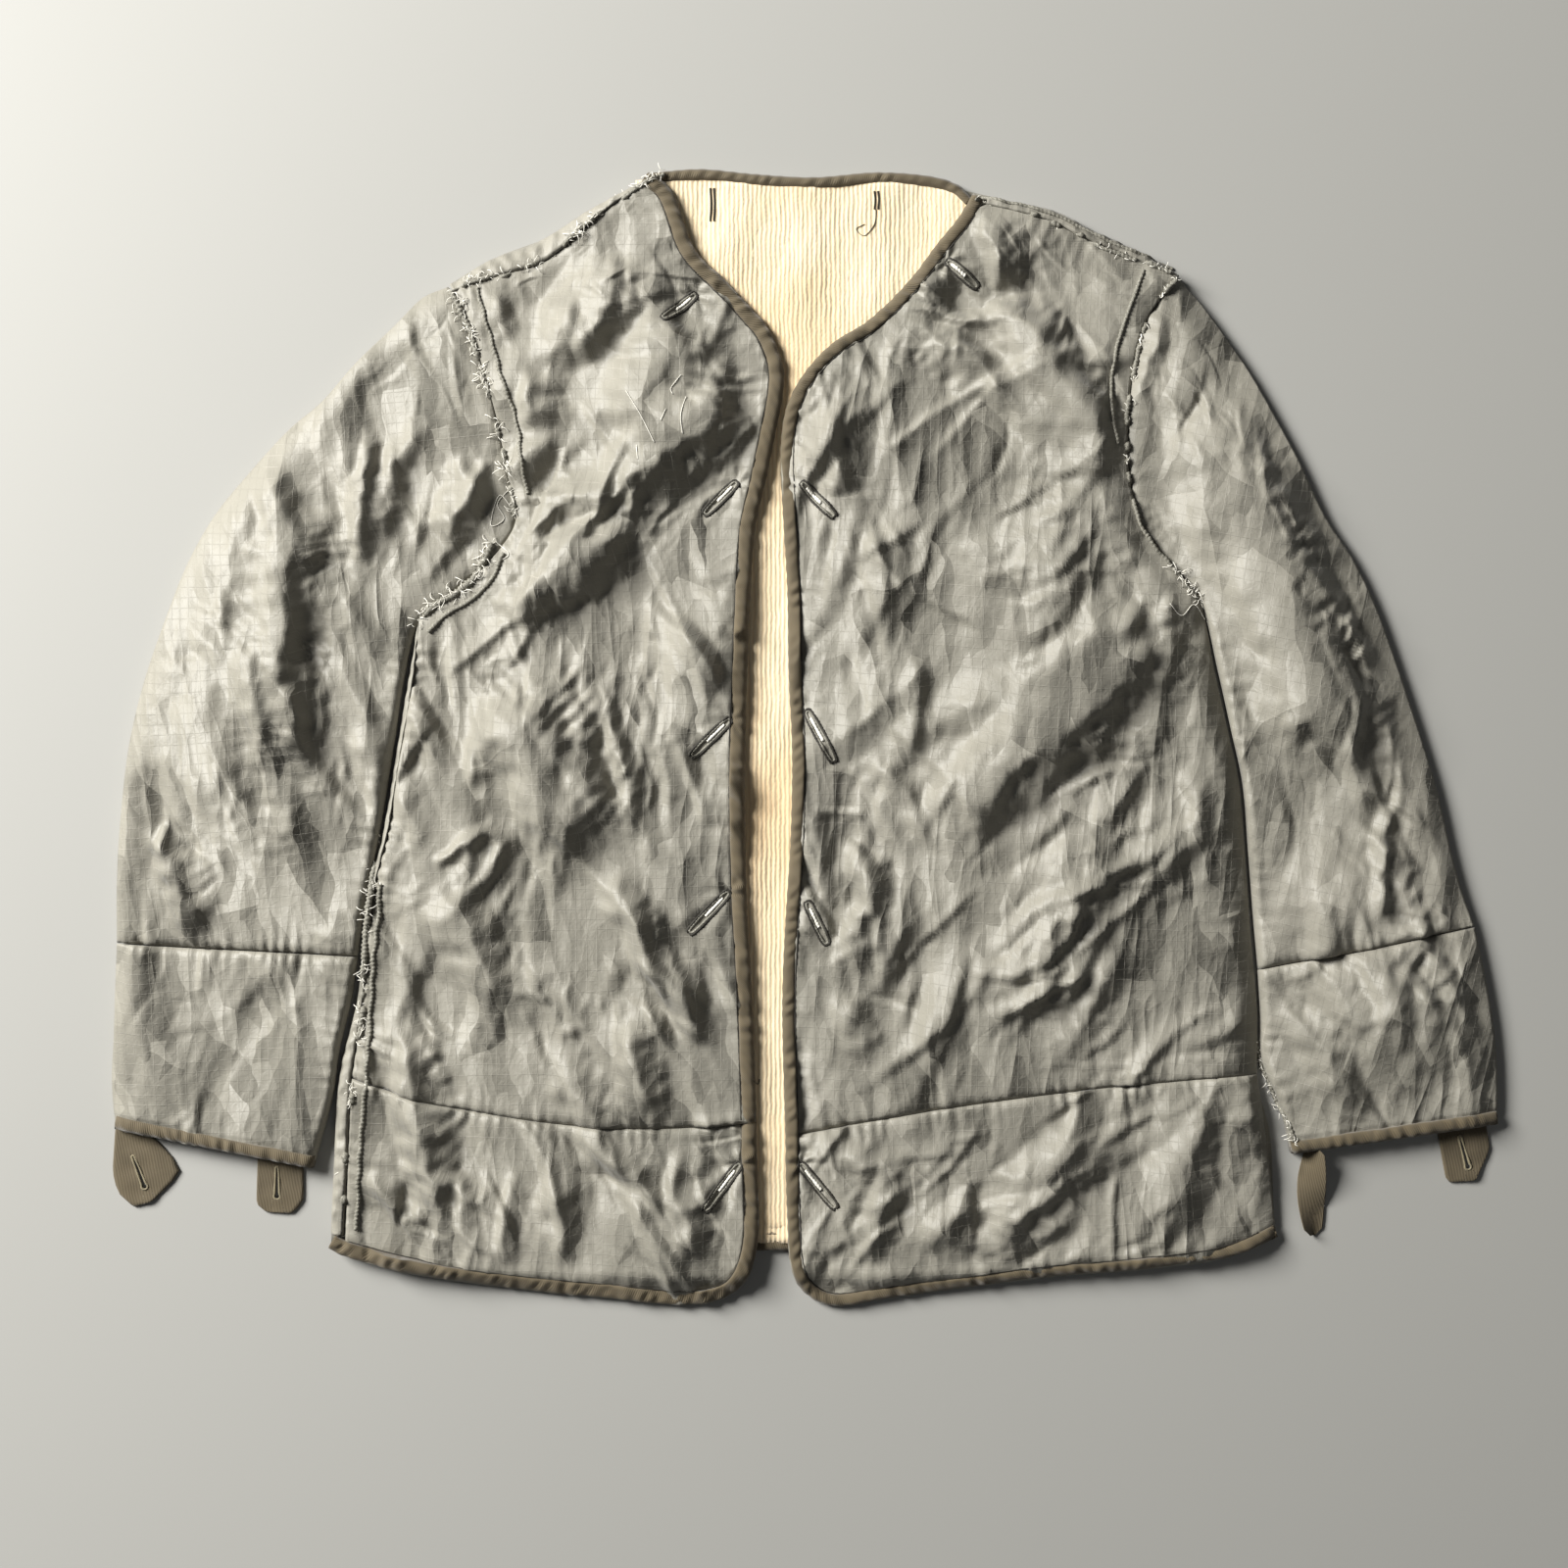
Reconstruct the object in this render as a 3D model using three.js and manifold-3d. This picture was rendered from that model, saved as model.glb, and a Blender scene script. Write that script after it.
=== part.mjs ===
import * as THREE from 'three';
import { mergeVertices } from 'three/addons/utils/BufferGeometryUtils.js';
import Module from 'manifold-3d';

// A field-jacket liner laid flat with its front up: crinkled ripstop nylon outside, ribbed wool
// pile inside, bias tape on the neck, front edges, hem and cuffs. Millimetres, +Z up, +Y towards
// the neck. Left and right are as seen from above.

// Driving dimensions
const SEAM_GAP = 0.5; // between two panels that are sewn together
const GAP = 0.3; // between a piece and what lies on it
const TUCK = 0.45; // between a tape and the cloth inside it
const WALL = 5; // nylon over its wool pile
const SHELL = 1.5; // nylon of the back, which lies on the surface
const PILE_TOP = 5.5; // upper side of the back's pile
const FRONT_BASE = PILE_TOP + GAP; // underside of a front where it rests on the pile
const STACK = FRONT_BASE + WALL; // back and front together
const SLEEVE_BASE = WALL + GAP; // underside of a sleeve's upper half
const RIM = 0.6; // thickness of the upper half at the very edge of the sleeve
const EDGE_LIFT = 2.2; // how far the lower half lifts off the surface at its edges
const INNER_ROUND = 10; // width over which a sleeve rounds down to its inner edge
const LEFT_OUTER_ROUND = 14;
const RIGHT_OUTER_ROUND = 26;
const TAPE = 0.9; // thickness of the folded bias tape
const TAPE_WIDTH = 9; // how far the tape reaches over the cloth
const BACK_TAPE_WIDTH = 7; // the same on the back neck and the back hem
const TAPE_PROUD = 0.5; // how far the tape stands above the cloth beside it
const ROLL_WIDTH = 18; // over which the right front turns down to the surface
const ROLL_FOOT = 1.5; // width of the turned edge that stands on the surface,
const ROLL_REACH = 8.1; // and how far in its underside rises to the flat front
const ROLL_EDGE = 3.2; // height of that edge
const RIB_PITCH = 4.3; // of the pile
const RIB_CREST = 6.4; // top of a rib where the pile shows
const PILE_MARGIN = 1; // from the free edges to the first raised rib
const TAB_THICK = 2; // doubled tape
const HEM_CLEAR = 13; // the fronts stay up until this far past the back's hem
const HEM_DROP = 14; // and come down to the surface over this length
const CORNER = 12; // stretch of a hem whose tape follows the side of the body
const SIDE_FADE = 22; // the folds die away towards the sides and the shoulders
const EDGE_FADE = 30; // and towards the free edges,
const EDGE_LOFT = 0.3; // where this share of them is left
const RIB_END = -300; // lower end of the ribs, above the back's hem
const RIGHT_SIDE_END = -286; // lower end of the back's right side

const NYLON = { color: 0x8d8678, roughness: 0.5, metalness: 0 };
const PILE = { color: 0xdcc39c, roughness: 0.95, metalness: 0 };
const BROWN_TAPE = { color: 0x5b4c3a, roughness: 0.8, metalness: 0 };

const COLUMNS = 11; // panel grid, from the side to the free edge
const SLEEVE_COLUMNS = 8;
const UNDER_COLUMNS = 4;
const BAND_ROWS = 6;
const STEPS = 2; // grid rows for each row of a table

// Outlines. Each row is one section of the garment, from the neck down. seam: where the front
// panel is sewn to its neighbour; edge: the free edge of the front; outer, inner: the two edges
// of the sleeve; fold: where the back turns over.
const LEFT_SHOULDER = [
  { seam: [-97, 336], edge: [-79, 331], fold: [-99, 338] },
  { seam: [-125, 315], edge: [-68, 301], fold: [-131, 321] },
  { seam: [-155, 289], edge: [-59, 288], fold: [-160, 303] },
  { seam: [-185, 279], edge: [-51, 281], fold: [-191, 291] },
  { seam: [-212, 270], edge: [-44, 274], fold: [-215, 276] },
];
const LEFT_ARMHOLE = [
  { seam: [-212, 270], edge: [-44, 274], outer: [-216, 274] },
  { seam: [-201, 246], edge: [-30, 259], outer: [-232, 267] },
  { seam: [-194, 222], edge: [-20, 247], outer: [-249, 250] },
  { seam: [-186, 193], edge: [-12, 226], outer: [-272, 228] },
  { seam: [-180, 163], edge: [-12, 208], outer: [-293, 204] },
  { seam: [-174, 133], edge: [-16, 187], outer: [-313, 187] },
  { seam: [-186, 111], edge: [-22, 157], outer: [-336, 162] },
  { seam: [-209, 90], edge: [-27, 136], outer: [-358, 135] },
  { seam: [-233, 69], edge: [-30, 115], outer: [-375, 105] },
];
const LEFT_SIDE = [
  { seam: [-233, 69], edge: [-30, 115], fold: [-234, 67] },
  { seam: [-237, 31], edge: [-33, 55], fold: [-241, 31] },
  { seam: [-245, -17], edge: [-35, -5], fold: [-249, -18] },
  { seam: [-252, -59], edge: [-35, -59], fold: [-256, -60] },
  { seam: [-260, -92], edge: [-34, -101], fold: [-264, -93] },
  { seam: [-264, -125], edge: [-32, -134], fold: [-268, -126] },
  { seam: [-267, -161], edge: [-30, -173], fold: [-272, -162] },
  { seam: [-274, -208], edge: [-28, -235], fold: [-283, -208] },
];
const LEFT_BAND_SIDE = [
  { seam: [-274, -208], fold: [-283, -208] },
  { seam: [-276.5, -257], fold: [-286, -257] },
  { seam: [-278.9, -303.5], fold: [-288, -303.5] },
];
const LEFT_HEM = [
  { edge: [-278.4, -316] }, { edge: [-247, -325] }, { edge: [-204, -333] }, { edge: [-161, -339] },
  { edge: [-119, -343] }, { edge: [-75, -347] }, { edge: [-48, -343] }, { edge: [-33, -329] },
  { edge: [-27, -305] }, { edge: [-27, -275] }, { edge: [-28, -248] },
];
const RIGHT_SHOULDER = [
  { seam: [112, 323], edge: [95, 315], fold: [113, 329] },
  { seam: [148, 314], edge: [82, 299], fold: [151, 322] },
  { seam: [173, 302], edge: [68, 280], fold: [176, 310] },
  { seam: [202, 290], edge: [58, 269], fold: [205, 296] },
  { seam: [228, 278], edge: [51, 262], fold: [230, 281] },
];
const RIGHT_ARMHOLE = [
  { seam: [228, 278], edge: [51, 262], outer: [232, 276] },
  { seam: [218, 266], edge: [38, 251], outer: [244, 262] },
  { seam: [207, 247], edge: [23, 242], outer: [259, 242] },
  { seam: [201, 220], edge: [12, 233], outer: [274, 220] },
  { seam: [198, 187], edge: [1, 220], outer: [289, 194] },
  { seam: [199, 157], edge: [-6, 208], outer: [304, 166] },
  { seam: [207, 127], edge: [-11, 193], outer: [319, 134] },
  { seam: [224, 105], edge: [-13, 169], outer: [336, 108] },
  { seam: [243, 82], edge: [-12, 142], outer: [350, 79] },
];
const RIGHT_SIDE = [
  { seam: [243, 82], edge: [-12, 142] },
  { seam: [252, 40], edge: [-9, 91] },
  { seam: [260, 4], edge: [-8, 37] },
  { seam: [267, -29], edge: [-6, -11] },
  { seam: [271, -77], edge: [-7, -65] },
  { seam: [274, -119], edge: [-10, -113] },
  { seam: [278, -167], edge: [-12, -167] },
  { seam: [278, -206], edge: [-10, -244] },
];
const RIGHT_BAND_SIDE = [
  { seam: [278, -206] }, { seam: [286, -234] }, { seam: [290, -268] }, { seam: [290, -305] },
];
const RIGHT_HEM = [
  { edge: [290, -305] }, { edge: [255, -318] }, { edge: [204, -325] }, { edge: [154, -329] },
  { edge: [103, -336] }, { edge: [52, -343] }, { edge: [20, -348] }, { edge: [1, -339] },
  { edge: [-7, -321] }, { edge: [-9, -293] }, { edge: [-10, -257] },
];
const LEFT_SLEEVE = [
  { outer: [-375, 105], inner: [-233, 69] },
  { outer: [-390, 67], inner: [-242, 37] },
  { outer: [-402, 31], inner: [-248, -3] },
  { outer: [-411, -8], inner: [-255, -46] },
  { outer: [-416, -53], inner: [-261, -77] },
  { outer: [-418, -89], inner: [-267, -107] },
  { outer: [-418, -126], inner: [-270.6, -134] },
];
const LEFT_CUFF = [
  { outer: [-418, -126], inner: [-270.6, -134] },
  { outer: [-419, -153], inner: [-274.8, -161] },
  { outer: [-420, -185], inner: [-282, -192] },
  { outer: [-421, -210], inner: [-286, -220] },
  { outer: [-419, -239], inner: [-298, -263] },
];
const RIGHT_SLEEVE = [
  { outer: [350, 79], inner: [243, 82] },
  { outer: [363, 43], inner: [253.5, 40] },
  { outer: [376, 4], inner: [261.5, 4] },
  { outer: [387, -32], inner: [268.5, -29] },
  { outer: [396, -71], inner: [271.8, -68] },
  { outer: [403, -96], inner: [274.6, -105] },
  { outer: [410, -116], inner: [277.8, -142] },
];
const RIGHT_CUFF = [
  { outer: [410, -116], inner: [277.8, -142] },
  { outer: [417, -148], inner: [279.4, -170] },
  { outer: [422, -179], inner: [280.5, -198] },
  { outer: [424, -206], inner: [290, -222] },
  { outer: [424, -236], inner: [298, -254] },
];
const BACK_NECK = [
  { edge: [-94, 343.5] }, { edge: [-62, 346] }, { edge: [-29, 343] }, { edge: [7, 341] },
  { edge: [45, 344] }, { edge: [76, 342] }, { edge: [94, 337] }, { edge: [104, 328] },
];
const BACK_HEM = [
  { edge: [-274, -309.5] }, { edge: [-155, -312] }, { edge: [-19, -314] }, { edge: [133, -310] },
  { edge: [281, -299] },
];
const LEFT_BAND_SAG = 14; // the cross seams of the fronts dip or rise between their ends
const RIGHT_BAND_SAG = -4;
const RIGHT_BAND_BULGE = 5; // the right end of the lower band bows outwards

// The largest folds and swellings. a, b, c: the crest from its start to its end; rise: height;
// lit, shade: width of the slope on the upper left and on the lower right of the crest.
const FOLDS = [
  { a: [-107, 298], b: [-124, 253], c: [-160, 228], rise: 7, lit: 30, shade: 16 },
  { a: [-66, 260], b: [-90, 216], c: [-112, 178], rise: 12, lit: 28, shade: 52 },
  { a: [-26, 196], b: [-71, 174], c: [-107, 139], rise: 9, lit: 38, shade: 15 },
  { a: [-196, 102], b: [-158, 127], c: [-112, 157], rise: 7, lit: 25, shade: 15 },
  { a: [-188, 78], b: [-146, 100], c: [-104, 130], rise: 12, lit: 13, shade: 27 },
  { a: [-188, 37], b: [-160, -20], c: [-132, -77], rise: 12, lit: 30, shade: 48 },
  { a: [-114, -77], b: [-90, -134], c: [-50, -179], rise: 7, lit: 17, shade: 15 },
  { a: [-224, -89], b: [-191, -140], c: [-167, -179], rise: 7, lit: 24, shade: 24 },
  { a: [-155, -185], b: [-125, -233], c: [-101, -278], rise: 5, lit: 20, shade: 18 },
  { a: [-250, -155], b: [-232, -221], c: [-214, -320], rise: 9, lit: 22, shade: 22 },
  { a: [-107, -167], b: [-98, -209], c: [-98, -239], rise: 6, lit: 18, shade: 16 },
  { a: [-287, 139], b: [-312, 79], c: [-300, -29], rise: 10, lit: 30, shade: 18 },
  { a: [-195, 166], b: [-206, 136], c: [-218, 115], rise: 8, lit: 20, shade: 14 },
  { a: [-388, -47], b: [-376, -83], c: [-363, -124], rise: 6, lit: 18, shade: 16 },
  { a: [-263, 211], b: [-347, 67], c: [-353, -119], rise: 6, lit: 48, shade: 60 },
  { a: [109, 322], b: [114, 295], c: [116, 271], rise: 6, lit: 14, shade: 30 },
  { a: [116, 271], b: [148, 228], c: [198, 162], rise: 10, lit: 30, shade: 24 },
  { a: [55, 253], b: [103, 223], c: [163, 166], rise: 5, lit: 18, shade: 15 },
  { a: [238, 67], b: [157, 4], c: [76, -78], rise: 10, lit: 50, shade: 20 },
  { a: [223, -59], b: [157, -110], c: [100, -194], rise: 6, lit: 36, shade: 17 },
  { a: [38, -59], b: [38, -101], c: [26, -149], rise: 6, lit: 14, shade: 16 },
  { a: [58, -266], b: [48, -293], c: [43, -323], rise: 5, lit: 20, shade: 15 },
  { a: [193, -233], b: [148, -269], c: [118, -320], rise: 8, lit: 26, shade: 22 },
  { a: [244, -215], b: [232, -263], c: [229, -305], rise: 5, lit: 24, shade: 24 },
  { a: [133, 151], b: [145, 67], c: [133, -29], rise: 6, lit: 70, shade: 90 },
  { a: [201, 157], b: [214, 116], c: [240, 86], rise: 8, lit: 30, shade: 12 },
  { a: [244, 211], b: [289, 91], c: [349, -47], rise: 14, lit: 50, shade: 46 },
  { a: [307, -59], b: [349, -137], c: [373, -221], rise: 8, lit: 60, shade: 46 },
  { a: [283, -155], b: [313, -191], c: [340, -233], rise: 5, lit: 17, shade: 16 },
];

// Curves

/** One column of a table as a smooth run of points, STEPS for each row. */
function column(rows, name) {
  const points = rows.map((row) => new THREE.Vector3(row[name][0], row[name][1], 0));
  const curve = new THREE.CatmullRomCurve3(points, false, 'centripetal');
  const count = (rows.length - 1) * STEPS;
  return Array.from({ length: count + 1 }, (_, i) => curve.getPoint(i / count));
}

/** Runs of points joined end to end, each point that two runs share kept once. */
function chain(...runs) {
  return runs.flatMap((run, i) => (i === 0 ? run : run.slice(1)));
}

/** The unit vectors to the left of a run of points. */
function leftNormals(points) {
  return points.map((_, i) => {
    const along = points[Math.min(i + 1, points.length - 1)].clone().sub(points[Math.max(i - 1, 0)]);
    return new THREE.Vector3(-along.y, along.x, 0).normalize();
  });
}

/** A run of points moved to its left; a negative distance moves it to its right. */
function offset(points, distance) {
  const normals = leftNormals(points);
  return points.map((point, i) => point.clone().addScaledVector(normals[i], distance));
}

function distanceTo(points, { x, y }) {
  let best = Infinity;
  for (let i = 1; i < points.length; i += 1) {
    const from = points[i - 1];
    const dx = points[i].x - from.x;
    const dy = points[i].y - from.y;
    const along = ((x - from.x) * dx + (y - from.y) * dy) / (dx * dx + dy * dy);
    const t = Math.min(1, Math.max(0, along));
    best = Math.min(best, Math.hypot(x - from.x - t * dx, y - from.y - t * dy));
  }
  return best;
}

/** How high a run that goes to the right passes the given x. */
function heightAt(points, x) {
  const last = points.length - 1;
  let i = 1;
  while (i < last && points[i].x < x) i += 1;
  const t = (x - points[i - 1].x) / (points[i].x - points[i - 1].x);
  return THREE.MathUtils.lerp(points[i - 1].y, points[i].y, t);
}

// The runs that the pieces share
const leftShoulder = column(LEFT_SHOULDER, 'seam');
const leftArmhole = column(LEFT_ARMHOLE, 'seam');
const leftSide = column(LEFT_SIDE, 'seam');
const rightShoulder = column(RIGHT_SHOULDER, 'seam');
const rightArmhole = column(RIGHT_ARMHOLE, 'seam');
const rightSide = column(RIGHT_SIDE, 'seam');
const rightBandSide = column(RIGHT_BAND_SIDE, 'seam');
const leftBandSide = column(LEFT_BAND_SIDE, 'seam');
const leftEdge = chain(...[LEFT_SHOULDER, LEFT_ARMHOLE, LEFT_SIDE].map((rows) => column(rows, 'edge')));
const rightEdge = chain(...[RIGHT_SHOULDER, RIGHT_ARMHOLE, RIGHT_SIDE].map((rows) => column(rows, 'edge')));
const leftHem = column(LEFT_HEM, 'edge');
const rightHem = column(RIGHT_HEM, 'edge');
const backNeck = column(BACK_NECK, 'edge');
const backHem = column(BACK_HEM, 'edge');
const rightBody = chain(rightSide, rightBandSide);
const leftSeam = chain(leftSide, leftBandSide);
const leftFree = chain(leftEdge, [...leftHem].reverse());
const rightFree = chain(rightEdge, [...rightHem].reverse());

// Heights. A place is a point of a grid; foot marks cloth that stands on the surface.

const smooth = (t) => THREE.MathUtils.smoothstep(t, 0, 1);

/** A quarter ellipse: 0 at the edge, 1 from the given width on. */
function arch(distance, width) {
  const rest = 1 - Math.min(1, distance / width);
  return Math.sqrt(1 - rest * rest);
}

/** One fold's height above flat cloth at a place. */
function foldHeight({ a, b, c, rise, lit, shade }, { x, y }) {
  const crest = [a, b, c];
  const leftIsLit = c[0] - a[0] + c[1] - a[1] > 0;
  let best = { gap: Infinity };
  for (let i = 0; i < 2; i += 1) {
    const dx = crest[i + 1][0] - crest[i][0];
    const dy = crest[i + 1][1] - crest[i][1];
    const along = ((x - crest[i][0]) * dx + (y - crest[i][1]) * dy) / (dx * dx + dy * dy);
    const t = Math.min(1, Math.max(0, along));
    const offX = x - crest[i][0] - t * dx;
    const offY = y - crest[i][1] - t * dy;
    const gap = Math.hypot(offX, offY);
    if (gap < best.gap) best = { gap, left: dx * offY - dy * offX > 0, t: (i + t) / 2 };
  }
  const width = best.left === leftIsLit ? lit : shade;
  if (best.gap >= width) return 0;
  const taper = Math.sin(Math.PI * Math.min(0.5, 0.12 + 1.3 * Math.min(best.t, 1 - best.t)));
  return rise * taper * Math.cos((Math.PI * best.gap) / (2 * width)) ** 2;
}

function loft(place) {
  return FOLDS.reduce((sum, fold) => sum + foldHeight(fold, place), 0);
}

/** Underside of flat cloth on the back: it comes down to the surface past the back's hem. */
function frontFloor({ x, y }) {
  const past = heightAt(backHem, x) - HEM_CLEAR - y;
  return FRONT_BASE * (1 - smooth(past / HEM_DROP));
}

/** Folds of the fronts, which die away towards seams and free edges. */
function frontLoft(place) {
  const seams = [leftShoulder, leftSeam, rightShoulder, rightBody].map((run) => distanceTo(run, place));
  const free = Math.min(distanceTo(leftFree, place), distanceTo(rightFree, place));
  const share = EDGE_LOFT + (1 - EDGE_LOFT) * smooth(free / EDGE_FADE);
  return loft(place) * share * smooth(Math.min(...seams) / SIDE_FADE);
}

const front = {
  proud: TAPE_PROUD,
  under: (place) => (place.foot ? 0 : frontFloor(place) + frontLoft(place)),
  top(place) {
    const flat = frontFloor(place) + frontLoft(place) + WALL;
    return Math.max(front.under(place) + ROLL_EDGE, flat * arch(distanceTo(rightBody, place), ROLL_WIDTH));
  },
};

/** The two halves of a sleeve: the upper one rounds down to both edges of the flattened tube. */
function sleeveHalves(outer, inner, cuff, outerWidth) {
  const top = (place) => {
    const round = arch(distanceTo(outer, place), outerWidth) * arch(distanceTo(inner, place), INNER_ROUND);
    const rim = SLEEVE_BASE + RIM + (ROLL_EDGE - RIM) * (1 - smooth((distanceTo(cuff, place) - 10) / 15));
    return rim + (STACK - rim + loft(place)) * round;
  };
  return {
    upper: { proud: TAPE_PROUD, top, under: (place) => Math.max(SLEEVE_BASE, top(place) - WALL) },
    lower: {
      proud: 0,
      top: () => WALL,
      under(place) {
        const edge = Math.min(distanceTo(outer, place), distanceTo(inner, place));
        return EDGE_LIFT * (1 - smooth(edge / 3));
      },
    },
  };
}

/** Where the height of a place is read: along a taped edge it stays the same across the tape. */
const levelled = (place) => place.edge ?? place;

// Solids

function closed(positions, triangles) {
  const geometry = new THREE.BufferGeometry();
  let volume = 0;
  const corner = (i) => new THREE.Vector3().fromArray(positions, 3 * i);
  for (let i = 0; i < triangles.length; i += 3) {
    const [p, q, r] = [corner(triangles[i]), corner(triangles[i + 1]), corner(triangles[i + 2])];
    volume += p.dot(q.cross(r));
  }
  geometry.setAttribute('position', new THREE.Float32BufferAttribute(positions, 3));
  geometry.setIndex(volume > 0 ? triangles : triangles.reverse());
  geometry.computeVertexNormals();
  return geometry;
}

/** A wall of cloth over a grid of places, between its underside and its upper side. */
function wall(grid, { under, top, proud }) {
  const rows = grid.length;
  const cols = grid[0].length;
  const places = grid.flat();
  const cover = TAPE + TUCK;
  const lift = (place) => (place.taped ? cover : 0);
  const drop = (place) => (place.taped ? cover - proud : 0);
  const low = places.flatMap((place) => [place.x, place.y, under(levelled(place)) + lift(place)]);
  const high = places.flatMap((place) => [place.x, place.y, top(levelled(place)) - drop(place)]);
  const positions = [...low, ...high];
  const triangles = [];
  const quad = (a, b, c, d) => triangles.push(a, b, c, a, c, d);
  const at = (row, col, layer) => (layer * rows + row) * cols + col;
  for (let row = 0; row < rows - 1; row += 1) {
    for (let col = 0; col < cols - 1; col += 1) {
      quad(at(row, col, 1), at(row, col + 1, 1), at(row + 1, col + 1, 1), at(row + 1, col, 1));
      quad(at(row, col + 1, 0), at(row, col, 0), at(row + 1, col, 0), at(row + 1, col + 1, 0));
    }
  }
  const rim = [];
  for (let col = 0; col < cols - 1; col += 1) rim.push([0, col]);
  for (let row = 0; row < rows - 1; row += 1) rim.push([row, cols - 1]);
  for (let col = cols - 1; col > 0; col -= 1) rim.push([rows - 1, col]);
  for (let row = rows - 1; row > 0; row -= 1) rim.push([row, 0]);
  rim.forEach(([row, col], i) => {
    const [nextRow, nextCol] = rim[(i + 1) % rim.length];
    quad(at(row, col, 0), at(nextRow, nextCol, 0), at(nextRow, nextCol, 1), at(row, col, 1));
  });
  return closed(positions, triangles);
}

/**
 * A solid through equal closed sections, with flat ends. Each section is { origin, across, profile }:
 * profile holds [distance along across, height] pairs.
 */
function sweep(sections) {
  const size = sections[0].profile.length;
  const positions = sections.flatMap(({ origin, across, profile }) => profile.flatMap(([reach, height]) => [
    origin.x + across.x * reach, origin.y + across.y * reach, height,
  ]));
  const triangles = [];
  for (let i = 0; i < sections.length - 1; i += 1) {
    for (let k = 0; k < size; k += 1) {
      const a = i * size + k;
      const b = i * size + ((k + 1) % size);
      triangles.push(a, b, b + size, a, b + size, a + size);
    }
  }
  const last = (sections.length - 1) * size;
  for (const [first, section] of [[0, sections[0]], [last, sections[sections.length - 1]]]) {
    const flat = section.profile.map(([reach, height]) => new THREE.Vector2(reach, height));
    const turn = Math.sign(THREE.ShapeUtils.area(flat)) * (first === 0 ? -1 : 1);
    for (const face of THREE.ShapeUtils.triangulateShape(flat, [])) {
      const same = Math.sign(THREE.ShapeUtils.area(face.map((k) => flat[k]))) === turn;
      const corners = (same ? face : [face[0], face[2], face[1]]).map((k) => first + k);
      triangles.push(...corners);
    }
  }
  return closed(positions, triangles);
}

/** A flat piece of even thickness from its outline. */
function slab(outline, low, high, holes = []) {
  const shape = new THREE.Shape(outline.map(({ x, y }) => new THREE.Vector2(x, y)));
  shape.holes.push(...holes);
  const depth = high - low;
  const geometry = new THREE.ExtrudeGeometry(shape, { depth, bevelEnabled: false, curveSegments: 6 });
  return geometry.translate(0, 0, low);
}

const wasm = await Module();
wasm.setup();

function toManifold(geometry) {
  const bare = geometry.clone();
  bare.deleteAttribute('normal');
  bare.deleteAttribute('uv');
  const merged = mergeVertices(bare, 1e-4);
  return new wasm.Manifold(new wasm.Mesh({
    numProp: 3,
    vertProperties: merged.getAttribute('position').array,
    triVerts: new Uint32Array(merged.getIndex().array),
  }));
}

function fromManifold(solid) {
  const { vertProperties, triVerts } = solid.getMesh();
  const geometry = new THREE.BufferGeometry();
  geometry.setAttribute('position', new THREE.BufferAttribute(vertProperties, 3));
  geometry.setIndex(new THREE.BufferAttribute(triVerts, 1));
  geometry.computeVertexNormals();
  return geometry;
}

const liner = new THREE.Group();

function add(name, geometry, finish) {
  const mesh = new THREE.Mesh(geometry, new THREE.MeshStandardMaterial(finish));
  mesh.name = name;
  liner.add(mesh);
}

// Grids: rows of places across a piece

const between = (from, to, t) => from.clone().lerp(to, t);

/** A place moved in from a point of a free edge; taped marks cloth that the tape covers. */
function inset(point, inward, distance, taped) {
  const place = point.clone().addScaledVector(inward, distance);
  place.taped = taped;
  place.edge = point;
  return place;
}

const TAPE_STOPS = [[TAPE_WIDTH + 2 * TUCK, false], [TAPE_WIDTH + TUCK, true], [TAPE + TUCK, true]];

/** The places of a taped edge's point from the cloth beside the tape to the edge inside it. */
function tapeStops(point, inward) {
  return TAPE_STOPS.map(([distance, taped]) => inset(point, inward, distance, taped));
}

/** The same for a run of points: a row of places for each stop. */
function tapeRows(points, inward) {
  const stops = points.map((point, i) => tapeStops(point, inward[i]));
  return TAPE_STOPS.map((_, k) => stops.map((places) => places[k]));
}

/** An upper front: from its sewn outer side to its taped free edge, down to the cross seam. */
function frontGrid(outer, edge, inward, near, sag, armpit) {
  return outer.map((seam, row) => {
    const stop = edge[row].clone().addScaledVector(inward[row], TAPE_STOPS[0][0]);
    const span = stop.sub(seam);
    const width = span.length();
    const first = near[near.length - 1] / width;
    const evenly = Array.from({ length: COLUMNS - 1 }, (_, i) => first + ((1 - first) * (i + 1)) / COLUMNS);
    const dip = (sag * Math.max(0, row / (outer.length - 1) - 0.7)) / 0.3;
    const places = [...near.map((reach) => reach / width), ...evenly].map((t, i) => {
      const place = seam.clone().addScaledVector(span, t);
      place.y -= dip * 4 * t * (1 - t);
      place.foot = near.length > 1 && i < 2 && row > armpit;
      return place;
    });
    return [...places, ...tapeStops(edge[row], inward[row])];
  });
}

/** Where the columns of a hem band meet its hem: near its side, then at the points of its run. */
function hemPoints(hem, near) {
  const run = new THREE.CatmullRomCurve3(hem, false, 'centripetal');
  const sides = near.slice(1).map((reach) => run.getPointAt(reach / run.getLength()));
  if (sides.length > 0) [hem[0], sides[0]].forEach((point) => Object.assign(point, { foot: true }));
  return [hem[0], ...sides, ...hem.slice(1)];
}

/** The point at a share of the number of steps along a run. */
function pointAt(run, share) {
  const i = Math.min(run.length - 2, Math.floor(share * (run.length - 1)));
  return between(run[i], run[i + 1], share * (run.length - 1) - i);
}

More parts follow.
